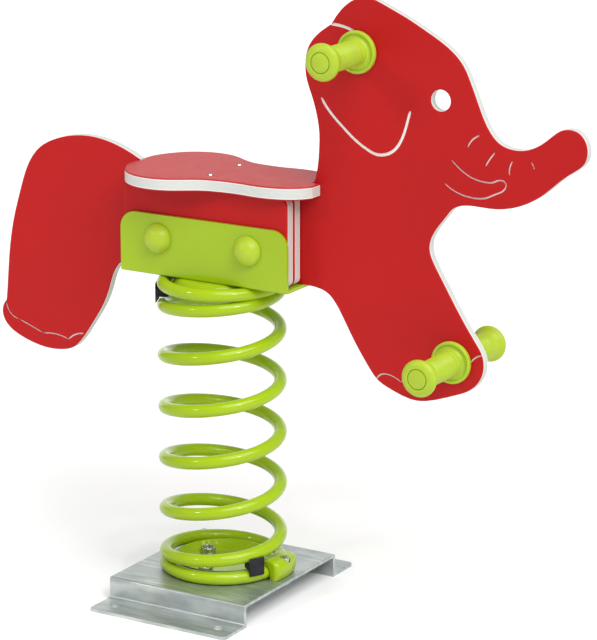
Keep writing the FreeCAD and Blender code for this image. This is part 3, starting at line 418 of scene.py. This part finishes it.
def floor_material():
    """Plain pale floor with the faintest patches."""
    look = finishes()
    material, tree, shader = new_material("floor")
    patches = shared(tree, "patches", scale=0.8)
    base = tree.blend(patches.outputs["Mask"], shade(look.floor, 0.985), shade(look.floor, 1.0))
    rough = tree.between(patches.outputs["Mask"], 0.0, 1.0, 0.60, 0.64)
    set_surface(tree, shader, base, rough)
    return material


MATERIAL_MAKERS = {
    "green_coat": green_coat_material, "green_plastic": green_plastic_material,
    "galvanised": galvanised_material, "zinc": zinc_material, "rubber": rubber_material,
    "floor": floor_material,
}
SLOTS = {"green_coat": "green_coated_steel", "green_plastic": "green_plastic", "zinc": "zinc_fasteners",
         "galvanised": "galvanised_steel", "rubber": "black_rubber"}
made_materials = {}


def material_for(name):
    if name not in made_materials:
        made_materials[name] = MATERIAL_MAKERS[name]()
    return made_materials[name]


# ---------------------------------------------------------------- mesh helpers
def piece_from(bm, name, material, smooth_to=35):
    """Turn a bmesh into a piece, smooth except where faces meet at a sharper angle."""
    mesh = bpy.data.meshes.new(name)
    bm.to_mesh(mesh)
    bm.free()
    if "custom_normal" in mesh.attributes:
        mesh.attributes.remove(mesh.attributes["custom_normal"])
    mesh.materials.clear()
    mesh.materials.append(material)
    mesh.shade_smooth()
    mesh.set_sharp_from_angle(angle=math.radians(smooth_to))
    piece = bpy.data.objects.new(name, mesh)
    bpy.context.scene.collection.objects.link(piece)
    return piece


def hold(piece, slot, body, *nodes):
    """Ride the piece on its body, in place of its CAD nodes."""
    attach(piece, body)
    if nodes:
        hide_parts(*nodes)
    return piece


def finished(bm, name, finish, body, *nodes, edge=0.0):
    """A bmesh as a piece in one finish, its edges softened if asked, held on its body."""
    piece = piece_from(bm, name, material_for(finish))
    if edge:
        soften(piece, edge)
    return hold(piece, SLOTS[finish], body, *nodes)


def body_of(node):
    """The moving body that carries a CAD node."""
    return next(body for body, members in frame["record"]["behaviour"]["bodies"].items()
                if node in members)


def copy_of(node, whole_faces=True):
    """The CAD node's surface as a joined mesh, with its flat faces made whole if asked."""
    bm = bmesh.new()
    bm.from_mesh(NODES[node].data)
    bmesh.ops.remove_doubles(bm, verts=bm.verts[:], dist=0.001 * MM)
    if whole_faces:
        bmesh.ops.dissolve_limit(bm, angle_limit=math.radians(0.4), use_dissolve_boundaries=False,
                                 verts=bm.verts[:], edges=bm.edges[:])
    bmesh.ops.recalc_face_normals(bm, faces=bm.faces[:])
    return bm


def even_shading(piece):
    """Let large flat faces set the normals along their borders."""
    weighted = piece.modifiers.new("Even shading", "WEIGHTED_NORMAL")
    weighted.keep_sharp = True
    weighted.weight = 80
    return piece


def soften(piece, width, segments=3):
    """Round the piece's sharp edges to a small radius."""
    bevel = piece.modifiers.new("Soft edges", "BEVEL")
    bevel.width = width
    bevel.segments = segments
    bevel.limit_method = "ANGLE"
    bevel.angle_limit = math.radians(32)
    return even_shading(piece)


def rounded_section(corners):
    """A flat face in the XZ plane from (radius, height, rounding) corners, as a bmesh."""
    bm = bmesh.new()
    verts = [bm.verts.new((radius, 0, height)) for radius, height, _ in corners]
    bm.faces.new(verts)
    for rounding in sorted({corner[2] for corner in corners if corner[2]}):
        sharp = [vert for vert, corner in zip(verts, corners) if corner[2] == rounding]
        bmesh.ops.bevel(bm, geom=sharp, offset=rounding, affect="VERTICES", segments=5,
                        profile=0.5, material=-1)
    return bm


def turned(corners, steps=96):
    """A closed shape spun about Z from its half section."""
    bm = rounded_section(corners)
    bmesh.ops.delete(bm, geom=bm.faces[:], context="FACES_ONLY")
    on_axis = [edge for edge in bm.edges if all(abs(vert.co.x) < 1e-7 for vert in edge.verts)]
    bmesh.ops.delete(bm, geom=on_axis, context="EDGES")
    bmesh.ops.spin(bm, geom=bm.verts[:] + bm.edges[:], cent=(0, 0, 0), axis=UP, dvec=(0, 0, 0),
                   angle=FULL_TURN, steps=steps, use_merge=True, use_duplicate=False)
    bmesh.ops.remove_doubles(bm, verts=bm.verts[:], dist=0.001 * MM)
    bmesh.ops.recalc_face_normals(bm, faces=bm.faces[:])
    return bm


def moved(bm, matrix):
    """The bmesh put in its place, still facing outwards if the place mirrors it."""
    bmesh.ops.transform(bm, matrix=matrix, verts=bm.verts[:])
    if matrix.determinant() < 0:
        bmesh.ops.recalc_face_normals(bm, faces=bm.faces[:])
    return bm


def joined(parts):
    """One bmesh of several."""
    whole = bmesh.new()
    for bm in parts:
        mesh = bpy.data.meshes.new("part")
        bm.to_mesh(mesh)
        bm.free()
        whole.from_mesh(mesh)
        bpy.data.meshes.remove(mesh)
    return whole


def grown_ring(bm, ring):
    """Extrude a ring of edges where it stands: the new ring's points and edges."""
    grown = bmesh.ops.extrude_edge_only(bm, edges=ring)["geom"]
    verts = [part for part in grown if isinstance(part, bmesh.types.BMVert)]
    new = set(verts)
    edges = [part for part in grown
             if isinstance(part, bmesh.types.BMEdge) and new.issuperset(part.verts)]
    return verts, edges


# ---------------------------------------------------------------- spring wire
class Coil:
    """The wire's centre line: an even helix that flattens out at both ends."""

    def __init__(self, sizes):
        half = sizes.wire / 2
        self.sizes = sizes
        self.radius = WIRE_REACH - half
        self.low = PLATE_TOP + half + sizes.seat_gap
        self.high = SADDLE_UNDER - half - sizes.seat_gap
        self.land = sizes.lift + FULL_TURN * (self.high - self.low) / sizes.pitch
        self.start = sizes.lift - sizes.dead_turn
        self.finish = self.land + sizes.upper_turn

    def rise(self, past):
        """Height gained at an angle past the point where the helix would leave the flat."""
        closing, slope = self.sizes.closing, self.sizes.pitch / FULL_TURN
        if past <= -closing:
            return 0.0
        if past < closing:
            return slope * (past + closing) ** 2 / (4 * closing)
        return slope * past

    def level(self, turn):
        """Height of the wire's middle at a turn."""
        if turn < (self.sizes.lift + self.land) / 2:
            return self.low + self.rise(turn - self.sizes.lift)
        return self.high - self.rise(self.land - turn)

    def turn_at(self, level):
        """The turn at which the climbing wire passes a level, found by halving."""
        before, after = self.start, self.finish
        for _ in range(50):
            middle = (before + after) / 2
            if self.level(middle) < level:
                before = middle
            else:
                after = middle
        return middle

    def section(self, turn):
        """The place and direction of the wire's cross-section."""
        small = 1e-4
        slope = (self.level(turn + small) - self.level(turn - small)) / (2 * small * self.radius)
        outward = Vector((math.cos(turn), math.sin(turn), 0))
        along = Vector((-math.sin(turn), math.cos(turn), slope)).normalized()
        facing = Matrix((outward, along.cross(outward), along)).transposed().to_4x4()
        return Matrix.Translation(outward * self.radius + UP * self.level(turn)) @ facing

    def stretch(self, first, last, round_first=False, round_last=False):
        """A closed length of wire from one turn to another, with its cut ends rounded if asked."""
        sizes = self.sizes
        reach, corner = sizes.wire / 2, sizes.end_round
        inset = corner / self.radius
        first += inset * round_first
        last -= inset * round_last
        count = max(2, round((last - first) / sizes.step))
        places = [(first + (last - first) * i / count, 1.0) for i in range(count + 1)]
        quarter = [math.radians(22.5 * i) for i in (1, 2, 3, 4)]
        fall = [(inset * math.sin(a), 1 - corner / reach * (1 - math.cos(a))) for a in quarter]
        if round_first:
            places = [(first - past, scale) for past, scale in reversed(fall)] + places
        if round_last:
            places += [(last + past, scale) for past, scale in fall]
        bm = bmesh.new()
        bmesh.ops.create_circle(bm, cap_ends=True, segments=sizes.sides, radius=reach)
        verts, ring = bm.verts[:], bm.edges[:]
        before = Matrix.Identity(4)
        for i, (turn, scale) in enumerate(places):
            if i:
                verts, ring = grown_ring(bm, ring)
            here = self.section(turn) @ Matrix.Diagonal((scale, scale, scale, 1))
            bmesh.ops.transform(bm, matrix=here @ before.inverted(), verts=verts)
            before = here
        bmesh.ops.contextual_create(bm, geom=ring)
        bmesh.ops.recalc_face_normals(bm, faces=bm.faces[:])
        return bm


# Each length of wire: the bodies at its two ends, the heights (m) over which it would bend between them,
# its top and its CAD nodes; the lengths are swept whole and not bent.
WIRE_LENGTHS = (
    {"name": "wire_lower_end", "below": "base", "above": "coil_twist", "bends": (0.066, 0.104),
     "top": 0.114, "nodes": ("spring_lower_end",)},
    {"name": "wire_lower_turn", "below": "coil_twist", "above": "coil_sway", "bends": (0.124, 0.214),
     "top": 0.224, "nodes": ("spring_lower_turn",)},
    {"name": "wire_middle_turns", "below": "coil_sway", "above": "coil_rock", "bends": (0.234, 0.354),
     "top": 0.364, "nodes": ("spring_middle_turns",)},
    {"name": "wire_upper_turns", "below": "coil_rock", "above": "rider", "bends": (0.374, 0.456),
     "top": None, "nodes": ("spring_upper_turns", "spring_upper_end")},
)


class RIDER_OT_spring(bpy.types.Operator):
    """Sweep the spring's wire, in lengths split at the spring's joints"""
    bl_idname = "rider.spring"
    bl_label = "Coil spring"

    def execute(self, context):
        coil = Coil(context.scene.rider_spring)
        first = coil.start
        for length_of_wire in WIRE_LENGTHS:
            top = length_of_wire["top"]
            last = coil.turn_at(top) if top else coil.finish
            bm = coil.stretch(first, last, round_first=first == coil.start, round_last=top is None)
            piece = piece_from(bm, length_of_wire["name"], material_for("green_coat"))
            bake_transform(piece)
            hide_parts(*length_of_wire["nodes"])
            first = last
        return {"FINISHED"}


# ---------------------------------------------------------------- dishes, claws and wedges
def dish(node):
    """A pressed dish that stands on its floor at z = 0."""
    low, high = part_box(node)
    rim, depth = high.x, high.z - low.z
    wall = bpy.context.scene.rider_steel.dish_wall
    floor = rim - 9.5 * MM
    return turned([
        (0, 0, 0), (floor, 0, 5 * MM), (rim, depth - 2 * MM, 0.8 * MM), (rim, depth, 0.7 * MM),
        (rim - 0.7 * wall, depth, 0.9 * MM), (floor - wall, wall, 9 * MM), (0, wall, 0)])


CLAW_SCREW_CIRCLE = WIRE_REACH + 8 * MM


def cast_claw(coil, level):
    """A bulging claw that hooks over the wire, its foot at z = 0 and its middle along +X."""
    centre, gap = coil.radius, coil.sizes.wire / 2 + 1.2 * MM
    foot, outer = centre + gap + 0.8 * MM, CLAW_SCREW_CIRCLE + 9 * MM
    inner, top = centre - 6.5 * MM, coil.sizes.wire + 11 * MM
    shoulder = level + gap
    bm = rounded_section([
        (foot, 0.1 * MM, 0), (outer - 4 * MM, 0.1 * MM, 1.5 * MM), (outer, 9 * MM, 5 * MM),
        (outer, top, 12 * MM), (inner, top, 4 * MM),
        (inner, shoulder, 1 * MM), (centre, shoulder, 0), (centre + 0.6 * gap, level + 0.88 * gap, 0),
        (centre + gap, level + 0.45 * gap, 0), (foot, level, 0)])
    corner, half, steps = 8 * MM, math.radians(17), 6
    inset = corner / WIRE_REACH
    quarter = [math.pi / 2 * i / steps for i in range(steps + 1)]
    first = [(-half + inset * (1 - math.sin(a)), 1 - math.cos(a)) for a in reversed(quarter)]
    stations = first + [(0, 0)] + [(-turn, fall) for turn, fall in reversed(first)]
    verts, ring, before, rings = bm.verts[:], bm.edges[:], 0, []
    for turn, fall in stations:
        if rings:
            verts, ring = grown_ring(bm, ring)
        bmesh.ops.rotate(bm, verts=verts, cent=(0, 0, 0), matrix=Matrix.Rotation(turn - before, 3, "Z"))
        rings.append((verts, fall))
        before = turn
    bmesh.ops.contextual_create(bm, geom=ring)
    for verts, fall in rings:
        for vert in verts:
            reach = math.hypot(vert.co.x, vert.co.y)
            if reach > foot:
                vert.co.xy *= (foot + (reach - foot) * (1 - 0.5 * fall)) / reach
            if vert.co.z > shoulder:
                vert.co.z = shoulder + (vert.co.z - shoulder) * (1 - 0.45 * fall)
    bmesh.ops.recalc_face_normals(bm, faces=bm.faces[:])
    return bm


def cylinder_mesh(distance, radius, low, high):
    """An upright cylinder along +X from the axis, between two heights."""
    bm = bmesh.new()
    bmesh.ops.create_cone(bm, cap_ends=True, segments=48, radius1=radius, radius2=radius,
                          depth=high - low)
    bmesh.ops.translate(bm, verts=bm.verts[:], vec=(distance, 0, (low + high) / 2))
    return bm


def cut_by(piece, cutter):
    """Cut a shape out of the piece for good."""
    tool_mesh = bpy.data.meshes.new("cutter")
    cutter.to_mesh(tool_mesh)
    cutter.free()
    tool = bpy.data.objects.new("cutter", tool_mesh)
    bpy.context.scene.collection.objects.link(tool)
    cut = piece.modifiers.new("Cut", "BOOLEAN")
    cut.operation = "DIFFERENCE"
    cut.object = tool
    bpy.context.view_layer.update()
    seen = piece.evaluated_get(bpy.context.evaluated_depsgraph_get())
    whole = piece.data
    piece.data = bpy.data.meshes.new_from_object(seen)
    piece.modifiers.clear()
    piece.data.name = whole.name
    piece.data.set_sharp_from_angle(angle=math.radians(50))
    bpy.data.meshes.remove(whole)
    bpy.data.objects.remove(tool)
    bpy.data.meshes.remove(tool_mesh)
    return piece


class RIDER_OT_clamps(bpy.types.Operator):
    """Model the dishes, cast claws and rubber wedges that hold the spring's ends"""
    bl_idname = "rider.clamps"
    bl_label = "Spring clamps"

    def execute(self, context):
        steel = context.scene.rider_steel
        on_plate = Matrix.Translation(UP * PLATE_TOP)
        under_saddle = Matrix.Translation(UP * SADDLE_UNDER)
        over = Matrix.Rotation(math.pi, 4, "X")
        finished(moved(dish("lower_dish"), on_plate), "pressed_dish_lower", "green_coat",
                 "base", "lower_dish")
        finished(moved(dish("upper_dish"), under_saddle @ over), "pressed_dish_upper", "green_coat",
                 "rider", "upper_dish")
        coil = Coil(context.scene.rider_spring)
        lower_turn = steel.lower_claw_turn
        upper_turn = coil.finish - steel.upper_claw_back
        standing = on_plate @ Matrix.Rotation(lower_turn, 4, "Z")
        hanging = under_saddle @ Matrix.Rotation(upper_turn, 4, "Z") @ over
        levels = (coil.level(lower_turn - FULL_TURN) - PLATE_TOP, SADDLE_UNDER - coil.level(upper_turn))
        for node, place, level in zip(("lower_claw", "upper_claw"), (standing, hanging), levels):
            cast = moved(cast_claw(coil, level), place)
            hole = cylinder_mesh(CLAW_SCREW_CIRCLE, radius=7.9 * MM, low=21 * MM, high=40 * MM)
            claw = cut_by(piece_from(cast, f"cast_{node}", material_for("green_coat"), smooth_to=50),
                          moved(hole, place))
            hold(claw, SLOTS["green_coat"], body_of(node), node)
        for node in ("lower_wedge", "upper_wedge"):
            finished(copy_of(node), f"rubber_{node}", "rubber", body_of(node), node,
                     edge=steel.rubber_edge)
        return {"FINISHED"}


# ---------------------------------------------------------------- plate and saddle
class RIDER_OT_steelwork(bpy.types.Operator):
    """Finish the galvanised base plate and the coated saddle with softened edges"""
    bl_idname = "rider.steelwork"
    bl_label = "Base plate and saddle"

    def execute(self, context):
        edge = context.scene.rider_steel.edge
        finished(copy_of("base_plate"), "hat_section_plate", "galvanised", "base", "base_plate",
                 edge=edge)
        finished(copy_of("saddle_bracket"), "saddle_channel", "green_coat", "rider", "saddle_bracket",
                 edge=edge)
        return {"FINISHED"}


# ---------------------------------------------------------------- boards
def through_walls(bm, across, middle):
    """The faces of the board's edge and of the holes right through it."""
    def is_wall(face):
        return abs(face.normal.dot(across)) < 0.1

    def crosses_middle(face):
        depths = [vert.co.dot(across) - middle for vert in face.verts]
        return min(depths) < 0 < max(depths)

    walls = {face for face in bm.faces if is_wall(face) and crosses_middle(face)}
    edge_of_search = list(walls)
    while edge_of_search:
        face = edge_of_search.pop()
        for edge in face.edges:
            for beside in edge.link_faces:
                if beside not in walls and is_wall(beside) and beside.normal.dot(face.normal) > 0.9:
                    walls.add(beside)
                    edge_of_search.append(beside)
    return walls


def round_board(bm, across, middle, thickness, radius):
    """Round a flat board's edges, and those of the holes through it, to a quarter circle."""
    shoulder, cuts = thickness / 2 - radius, 4
    for i in range(cuts):
        depth = shoulder + radius * math.sin(math.pi / 2 * i / cuts)
        for side in (-1, 1):
            bmesh.ops.bisect_plane(bm, geom=bm.verts[:] + bm.edges[:] + bm.faces[:], dist=1e-7,
                                   plane_co=across * (middle + side * depth), plane_no=across)
    bm.normal_update()
    outward = {}
    for face in through_walls(bm, across, middle):
        for vert in face.verts:
            outward.setdefault(vert, []).append(face.normal.copy())
    for vert, normals in outward.items():
        past = abs(vert.co.dot(across) - middle) - shoulder
        if past <= 0:
            continue
        inset = radius - math.sqrt(max(radius ** 2 - past ** 2, 0))
        direction = sum(normals, Vector()).normalized()
        vert.co -= direction * inset / max(direction.dot(normals[0]), 0.6)
    bm.normal_update()


def make_board(node, name, across, skin, gloss):
    """A two-colour board with routed edges, from its CAD node."""
    low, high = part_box(node)
    thickness = (high - low).dot(across)
    middle = (high + low).dot(across) / 2
    bm = copy_of(node, whole_faces=False)
    sizes = bpy.context.scene.rider_boards
    round_board(bm, across, middle, thickness, sizes.rounding)
    finish = board_material(f"{name}_finish", across, middle, thickness, skin, gloss)
    piece = piece_from(bm, name, finish)
    even_shading(piece)
    return hold(piece, "red_board", "rider", node)


class RIDER_OT_panel(bpy.types.Operator):
    """Round the elephant panel's edges and give it red skins, a pale core and cut grooves"""
    bl_idname = "rider.panel"
    bl_label = "Elephant panel"

    def execute(self, context):
        sizes = context.scene.rider_boards
        make_board("body_panel", "elephant_panel", LEFT, sizes.panel_skin, sizes.gloss)
        return {"FINISHED"}


class RIDER_OT_spacers(bpy.types.Operator):
    """Model the four spacer boards between the panel and the saddle"""
    bl_idname = "rider.spacers"
    bl_label = "Spacer boards"

    def execute(self, context):
        sizes = context.scene.rider_boards
        for layer in ("inner", "outer"):
            for side in ("left", "right"):
                make_board(f"{layer}_spacer_{side}", f"spacer_board_{layer}_{side}", LEFT,
                           sizes.spacer_skin, sizes.gloss)
        return {"FINISHED"}


def countersunk_head(radius, depth):
    """A screw's flat head with a lobed socket, its top at z = 0."""
    bm = bmesh.new()
    sides, lobes = 36, 6
    bmesh.ops.create_circle(bm, cap_ends=True, segments=sides, radius=radius)
    bm.faces.ensure_lookup_table()
    top = bm.faces[0]
    bmesh.ops.inset_region(bm, faces=[top], thickness=0.45 * radius, use_even_offset=True)
    for i, vert in enumerate(top.verts):
        vert.co *= 1 - 0.13 * (1 - math.cos(lobes * FULL_TURN * i / sides)) / 2
    sunk = bmesh.ops.extrude_face_region(bm, geom=[top])["geom"]
    verts = [part for part in sunk if isinstance(part, bmesh.types.BMVert)]
    bmesh.ops.delete(bm, geom=[top], context="FACES_ONLY")
    bmesh.ops.translate(bm, verts=verts, vec=(0, 0, -0.6 * depth))
    rim = [edge for edge in bm.edges if edge.is_boundary]
    grown = bmesh.ops.extrude_edge_only(bm, edges=rim)["geom"]
    skirt = [part for part in grown if isinstance(part, bmesh.types.BMVert)]
    bmesh.ops.scale(bm, verts=skirt, vec=(0.55, 0.55, 1))
    bmesh.ops.translate(bm, verts=skirt, vec=(0, 0, -depth))
    bmesh.ops.contextual_create(bm, geom=skirt)
    bmesh.ops.recalc_face_normals(bm, faces=bm.faces[:])
    return bm


class RIDER_OT_seat(bpy.types.Operator):
    """Model the seat board and the two screws that hold it"""
    bl_idname = "rider.seat"
    bl_label = "Seat"

    def execute(self, context):
        sizes = context.scene.rider_boards
        make_board("seat_board", "seat_plank", UP, sizes.seat_skin, sizes.seat_gloss)
        low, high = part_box("seat_screws")
        radius = (high.x - low.x) / 2
        heads = []
        for y in (low.y + radius, high.y - radius):
            place = Matrix.Translation(((low.x + high.x) / 2, y, high.z))
            heads.append(moved(countersunk_head(radius, 3 * MM), place))
        finished(joined(heads), "seat_screw_heads", "zinc", "rider", "seat_screws",
                 edge=context.scene.rider_steel.screw_edge)
        return {"FINISHED"}


# ---------------------------------------------------------------- bolt caps
class RIDER_OT_bolt_caps(bpy.types.Operator):
    """Turn the domed caps over the saddle's bolts, and the collars that they snap on to"""
    bl_idname = "rider.bolt_caps"
    bl_label = "Bolt caps"

    def execute(self, context):
        low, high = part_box("bolt_cap_domes")
        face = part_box("saddle_bracket")[1].y
        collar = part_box("bolt_cap_bases")[1].y - face
        radius = (high.z - low.z) / 2
        height = high.y - face - collar
        ball = (radius ** 2 + height ** 2) / (2 * height)
        spread = math.asin(radius / ball)
        steps = 14
        slopes = [spread * (1 - i / steps) for i in range(1, steps + 1)]
        arc = [(ball * math.sin(slope), height - ball * (1 - math.cos(slope)), 0) for slope in slopes]
        dome = [(0, 0, 0), (radius, 0, 0.3 * MM)] + arc
        ring = [(0, 0, 0), (radius, 0, 0.3 * MM), (radius, collar - 0.1 * MM, 0.8 * MM),
                (0, collar - 0.1 * MM, 0)]
        for name, corners, level, node in (
                ("cap_domes", dome, face + collar, "bolt_cap_domes"),
                ("cap_collars", ring, face, "bolt_cap_bases")):
            shapes = []
            for x in (low.x + radius, high.x - radius):
                for side in (-1, 1):
                    out = Matrix.Rotation(-side * math.pi / 2, 4, "X")
                    place = Matrix.Translation((x, side * level, (low.z + high.z) / 2))
                    shapes.append(moved(turned(corners), place @ out))
            finished(joined(shapes), name, "green_plastic", "rider", node)
        return {"FINISHED"}


# ---------------------------------------------------------------- grips
def grip_section(sizes, reach):
    """Half section of a hand grip: flange, ribbed barrel, and a knob with a round recess."""
    flange, barrel, knob = sizes.inner_flange, sizes.barrel, sizes.knob
    recess = sizes.cap + 1.0 * MM
    corners = [
        (0, 0, 0), (flange, 0, 2 * MM), (flange, 7.5 * MM, 2.5 * MM),
        (flange - 4.5 * MM, 7.5 * MM, 1 * MM), (flange - 5.5 * MM, 5.8 * MM, 0.8 * MM),
        (flange - 9 * MM, 5.8 * MM, 1 * MM), (flange - 12 * MM, 9 * MM, 1.2 * MM),
        (barrel + 1.8 * MM, 13 * MM, 2 * MM), (barrel, 17 * MM, 0)]
    first, last = 20 * MM, reach - 30 * MM
    per_rib = 6
    points = per_rib * sizes.ribs
    for i in range(points + 1):
        swell = abs(math.sin(math.pi * i / per_rib))
        corners.append((barrel + sizes.rib_height * swell, first + (last - first) * i / points, 0))
    corners += [
        (barrel, reach - 27 * MM, 0), (barrel + 1.2 * MM, reach - 20 * MM, 4 * MM),
        (knob - 5 * MM, reach - 14.5 * MM, 3 * MM), (knob, reach - 11 * MM, 2.9 * MM),
        (knob, reach - 4.5 * MM, 3 * MM), (knob - 7 * MM, reach, 3 * MM),
        (recess, reach, 0.6 * MM), (recess, reach - 2.4 * MM, 0), (0, reach - 2.4 * MM, 0)]
    return corners


def grip_cap_section(sizes, reach):
    """Half section of the low domed cap in a grip's recess."""
    return [(0, reach - 2.3 * MM, 0), (sizes.cap, reach - 2.3 * MM, 0),
            (sizes.cap, reach - 0.5 * MM, 0.6 * MM), (0.6 * sizes.cap, reach + 0.9 * MM, 3 * MM),
            (0, reach + 1.2 * MM, 0)]


class RIDER_OT_grips(bpy.types.Operator):
    """Turn the ribbed hand grips and footrests, and the round caps in their ends"""
    bl_idname = "rider.grips"
    bl_label = "Grips and footrests"

    def execute(self, context):
        sizes = context.scene.rider_grips
        for rail in ("handle", "footrest"):
            for side, way in (("left", 1), ("right", -1)):
                low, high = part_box(f"{rail}_grip_{side}")
                reach = high.y - low.y
                foot = low.y if way > 0 else high.y
                place = Matrix.Translation(((low.x + high.x) / 2, foot, (low.z + high.z) / 2))
                out = place @ Matrix.Rotation(-way * math.pi / 2, 4, "X")
                for part, corners in (("grip", grip_section(sizes, reach)),
                                      ("cap", grip_cap_section(sizes, reach))):
                    finished(moved(turned(corners), out), f"{rail}_{side}_{part}", "green_plastic",
                             "rider", f"{rail}_{part}_{side}")
        return {"FINISHED"}


# ---------------------------------------------------------------- fasteners
class RIDER_OT_fasteners(bpy.types.Operator):
    """Plate the bolts, washers, nuts and rods, and break the edges of those that show"""
    bl_idname = "rider.fasteners"
    bl_label = "Fasteners"

    shown = ("lower_clamp_washers", "lower_claw_screw", "upper_clamp_nuts",
             "upper_claw_nut", "lower_clamp_nuts")
    hidden = ("lower_claw_nut", "upper_claw_screw", "upper_clamp_screws", "upper_clamp_washers",
              "saddle_bolts", "saddle_washers", "saddle_nuts", "handle_rod", "handle_washers",
              "handle_nuts", "footrest_rod", "footrest_washers", "footrest_nuts")

    def execute(self, context):
        steel = context.scene.rider_steel
        low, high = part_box("lower_clamp_bolts")
        under_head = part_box("lower_clamp_washers")[1].z
        shank, head, socket_floor = 6 * MM, 11 * MM, high.z - 4.5 * MM
        section = [(0, low.z, 0), (shank, low.z, 0.8 * MM), (shank, under_head, 0),
                   (head, under_head, 0.4 * MM), (head, high.z, 1.6 * MM),
                   (head - 3.2 * MM, high.z, 0.6 * MM), (head - 4 * MM, socket_floor, 0),
                   (0, socket_floor, 0)]
        out = Matrix.Translation((steel.bolt_circle, 0, 0))
        bolts = [moved(turned(section, steps=48), Matrix.Rotation(math.radians(turn), 4, "Z") @ out)
                 for turn in (30, 150, 270)]
        finished(joined(bolts), "socket_bolts", "zinc", "base", "lower_clamp_bolts")
        for node in self.shown:
            finished(copy_of(node), f"plated_{node}", "zinc", body_of(node), node,
                     edge=steel.fastener_edge)
        for node in self.hidden:
            for place in NODES[node].material_slots:
                place.material = material_for("zinc")
        return {"FINISHED"}


# ---------------------------------------------------------------- floor, lights and camera
RIDER_MIDDLE = Vector((0.1, 0, 0.5))
FLOOR_HALF = 40
SUN_STRENGTH = 2.8
SUN_SPREAD = math.radians(55)
SUN_PLACE = (1, 0.55, 1.6)
STUDIO_GLOW = 0.42
BACKDROP_GLOW = 1.02
# Each lamp's place from the rider's middle (towards the camera, to its right, up), its size and power.
LAMPS = (
    ("Key", (2.6, 1.2, 2.4), (0.42, 0.45), 17),
    ("Side", (1.2, -2.5, 1.7), (0.35, 0.5), 15),
    ("Behind", (-5.5, 0, 0.9), (8, 3), 62),
)


def soft_light(name, place, aim, size, power):
    """A rectangular lamp that points at its aim and isn't seen itself."""
    lamp = bpy.data.lights.new(name, "AREA")
    lamp.shape = "RECTANGLE"
    lamp.size, lamp.size_y = size
    lamp.energy = power
    light = bpy.data.objects.new(name, lamp)
    light.visible_camera = False
    light.location = place
    light.rotation_euler = (aim - place).to_track_quat("-Z", "Y").to_euler()
    bpy.context.scene.collection.objects.link(light)


def hang_lights(level, right):
    """The broad sun overhead and the soft lamps, set out from the camera's side."""
    def from_middle(place):
        return level * place[0] + right * place[1] + UP * place[2]

    sun = bpy.data.lights.new("Overhead", "SUN")
    sun.energy = SUN_STRENGTH
    sun.angle = SUN_SPREAD
    overhead = bpy.data.objects.new("Overhead", sun)
    overhead.rotation_euler = from_middle(SUN_PLACE).to_track_quat("Z", "Y").to_euler()
    bpy.context.scene.collection.objects.link(overhead)
    for name, place, size, power in LAMPS:
        soft_light(name, RIDER_MIDDLE + from_middle(place), RIDER_MIDDLE, size, power)


def light_backdrop(scene):
    """A white studio world, brighter to the camera than to the rider."""
    world = bpy.data.worlds.new("Studio")
    world.use_nodes = True
    tree = Tree(world.node_tree)
    seen = tree.add("ShaderNodeLightPath").outputs["Is Camera Ray"]
    background = world.node_tree.nodes["Background"]
    background.inputs["Color"].default_value = (1, 1, 1, 1)
    strength = tree.maths("MULTIPLY_ADD", seen, BACKDROP_GLOW - STUDIO_GLOW, STUDIO_GLOW)
    world.node_tree.links.new(strength, background.inputs["Strength"])
    scene.world = world
    scene.view_settings.view_transform = "Standard"


class RIDER_OT_stage(bpy.types.Operator):
    """Lay the pale floor, hang the soft lights and set up the camera"""
    bl_idname = "rider.stage"
    bl_label = "Floor, lights and camera"

    def execute(self, context):
        stage = context.scene.rider_stage
        right = Vector((math.cos(stage.azimuth), math.sin(stage.azimuth), 0))
        level = Vector((math.sin(stage.azimuth), -math.cos(stage.azimuth), 0))
        back = level * math.cos(stage.elevation) + UP * math.sin(stage.elevation)
        aim = right * stage.aim_side + UP * stage.aim_height
        lens = bpy.data.cameras.new("Camera")
        lens.lens = stage.lens
        lens.sensor_width = 36
        camera = bpy.data.objects.new("Camera", lens)
        facing = Matrix((right, back.cross(right), back)).transposed().to_4x4()
        camera.matrix_world = Matrix.Translation(aim + back * stage.distance) @ facing
        context.scene.collection.objects.link(camera)
        context.scene.camera = camera

        bm = bmesh.new()
        bmesh.ops.create_grid(bm, x_segments=1, y_segments=1, size=FLOOR_HALF)
        piece_from(bm, "Floor", material_for("floor"))
        hang_lights(level, right)
        light_backdrop(context.scene)
        return {"FINISHED"}


# ---------------------------------------------------------------- panel and registration
STEPS = (RIDER_OT_stage, RIDER_OT_steelwork, RIDER_OT_clamps, RIDER_OT_spring, RIDER_OT_panel,
         RIDER_OT_spacers, RIDER_OT_seat, RIDER_OT_bolt_caps, RIDER_OT_grips, RIDER_OT_fasteners)
GROUPS = {"rider_spring": SpringSizes, "rider_boards": BoardSizes, "rider_grips": GripSizes,
          "rider_steel": SteelSizes, "rider_finishes": Finishes, "rider_stage": StageSizes}


class RIDER_PT_pieces(bpy.types.Panel):
    """The pieces of the spring rider, and the sizes and colours they are made with"""
    bl_idname = "RIDER_PT_pieces"
    bl_label = "Spring rider"
    bl_space_type = "VIEW_3D"
    bl_region_type = "UI"
    bl_category = "Spring rider"

    def draw(self, context):
        for group in GROUPS:
            box = self.layout.box()
            settings = getattr(context.scene, group)
            for name in settings.bl_rna.properties.keys():
                if name not in ("rna_type", "name"):
                    box.prop(settings, name)
        for step in STEPS:
            self.layout.operator(step.bl_idname)


CLASSES = tuple(GROUPS.values()) + STEPS + (RIDER_PT_pieces,)


def register():
    for cls in CLASSES:
        bpy.utils.register_class(cls)
    for name, group in GROUPS.items():
        setattr(bpy.types.Scene, name, bpy.props.PointerProperty(type=group))


def unregister():
    for name in GROUPS:
        delattr(bpy.types.Scene, name)
    for cls in reversed(CLASSES):
        bpy.utils.unregister_class(cls)


def main():
    register()
    for step in STEPS:
        getattr(bpy.ops.rider, step.bl_idname.split(".")[1])()


if __name__ == "__main__":
    main()
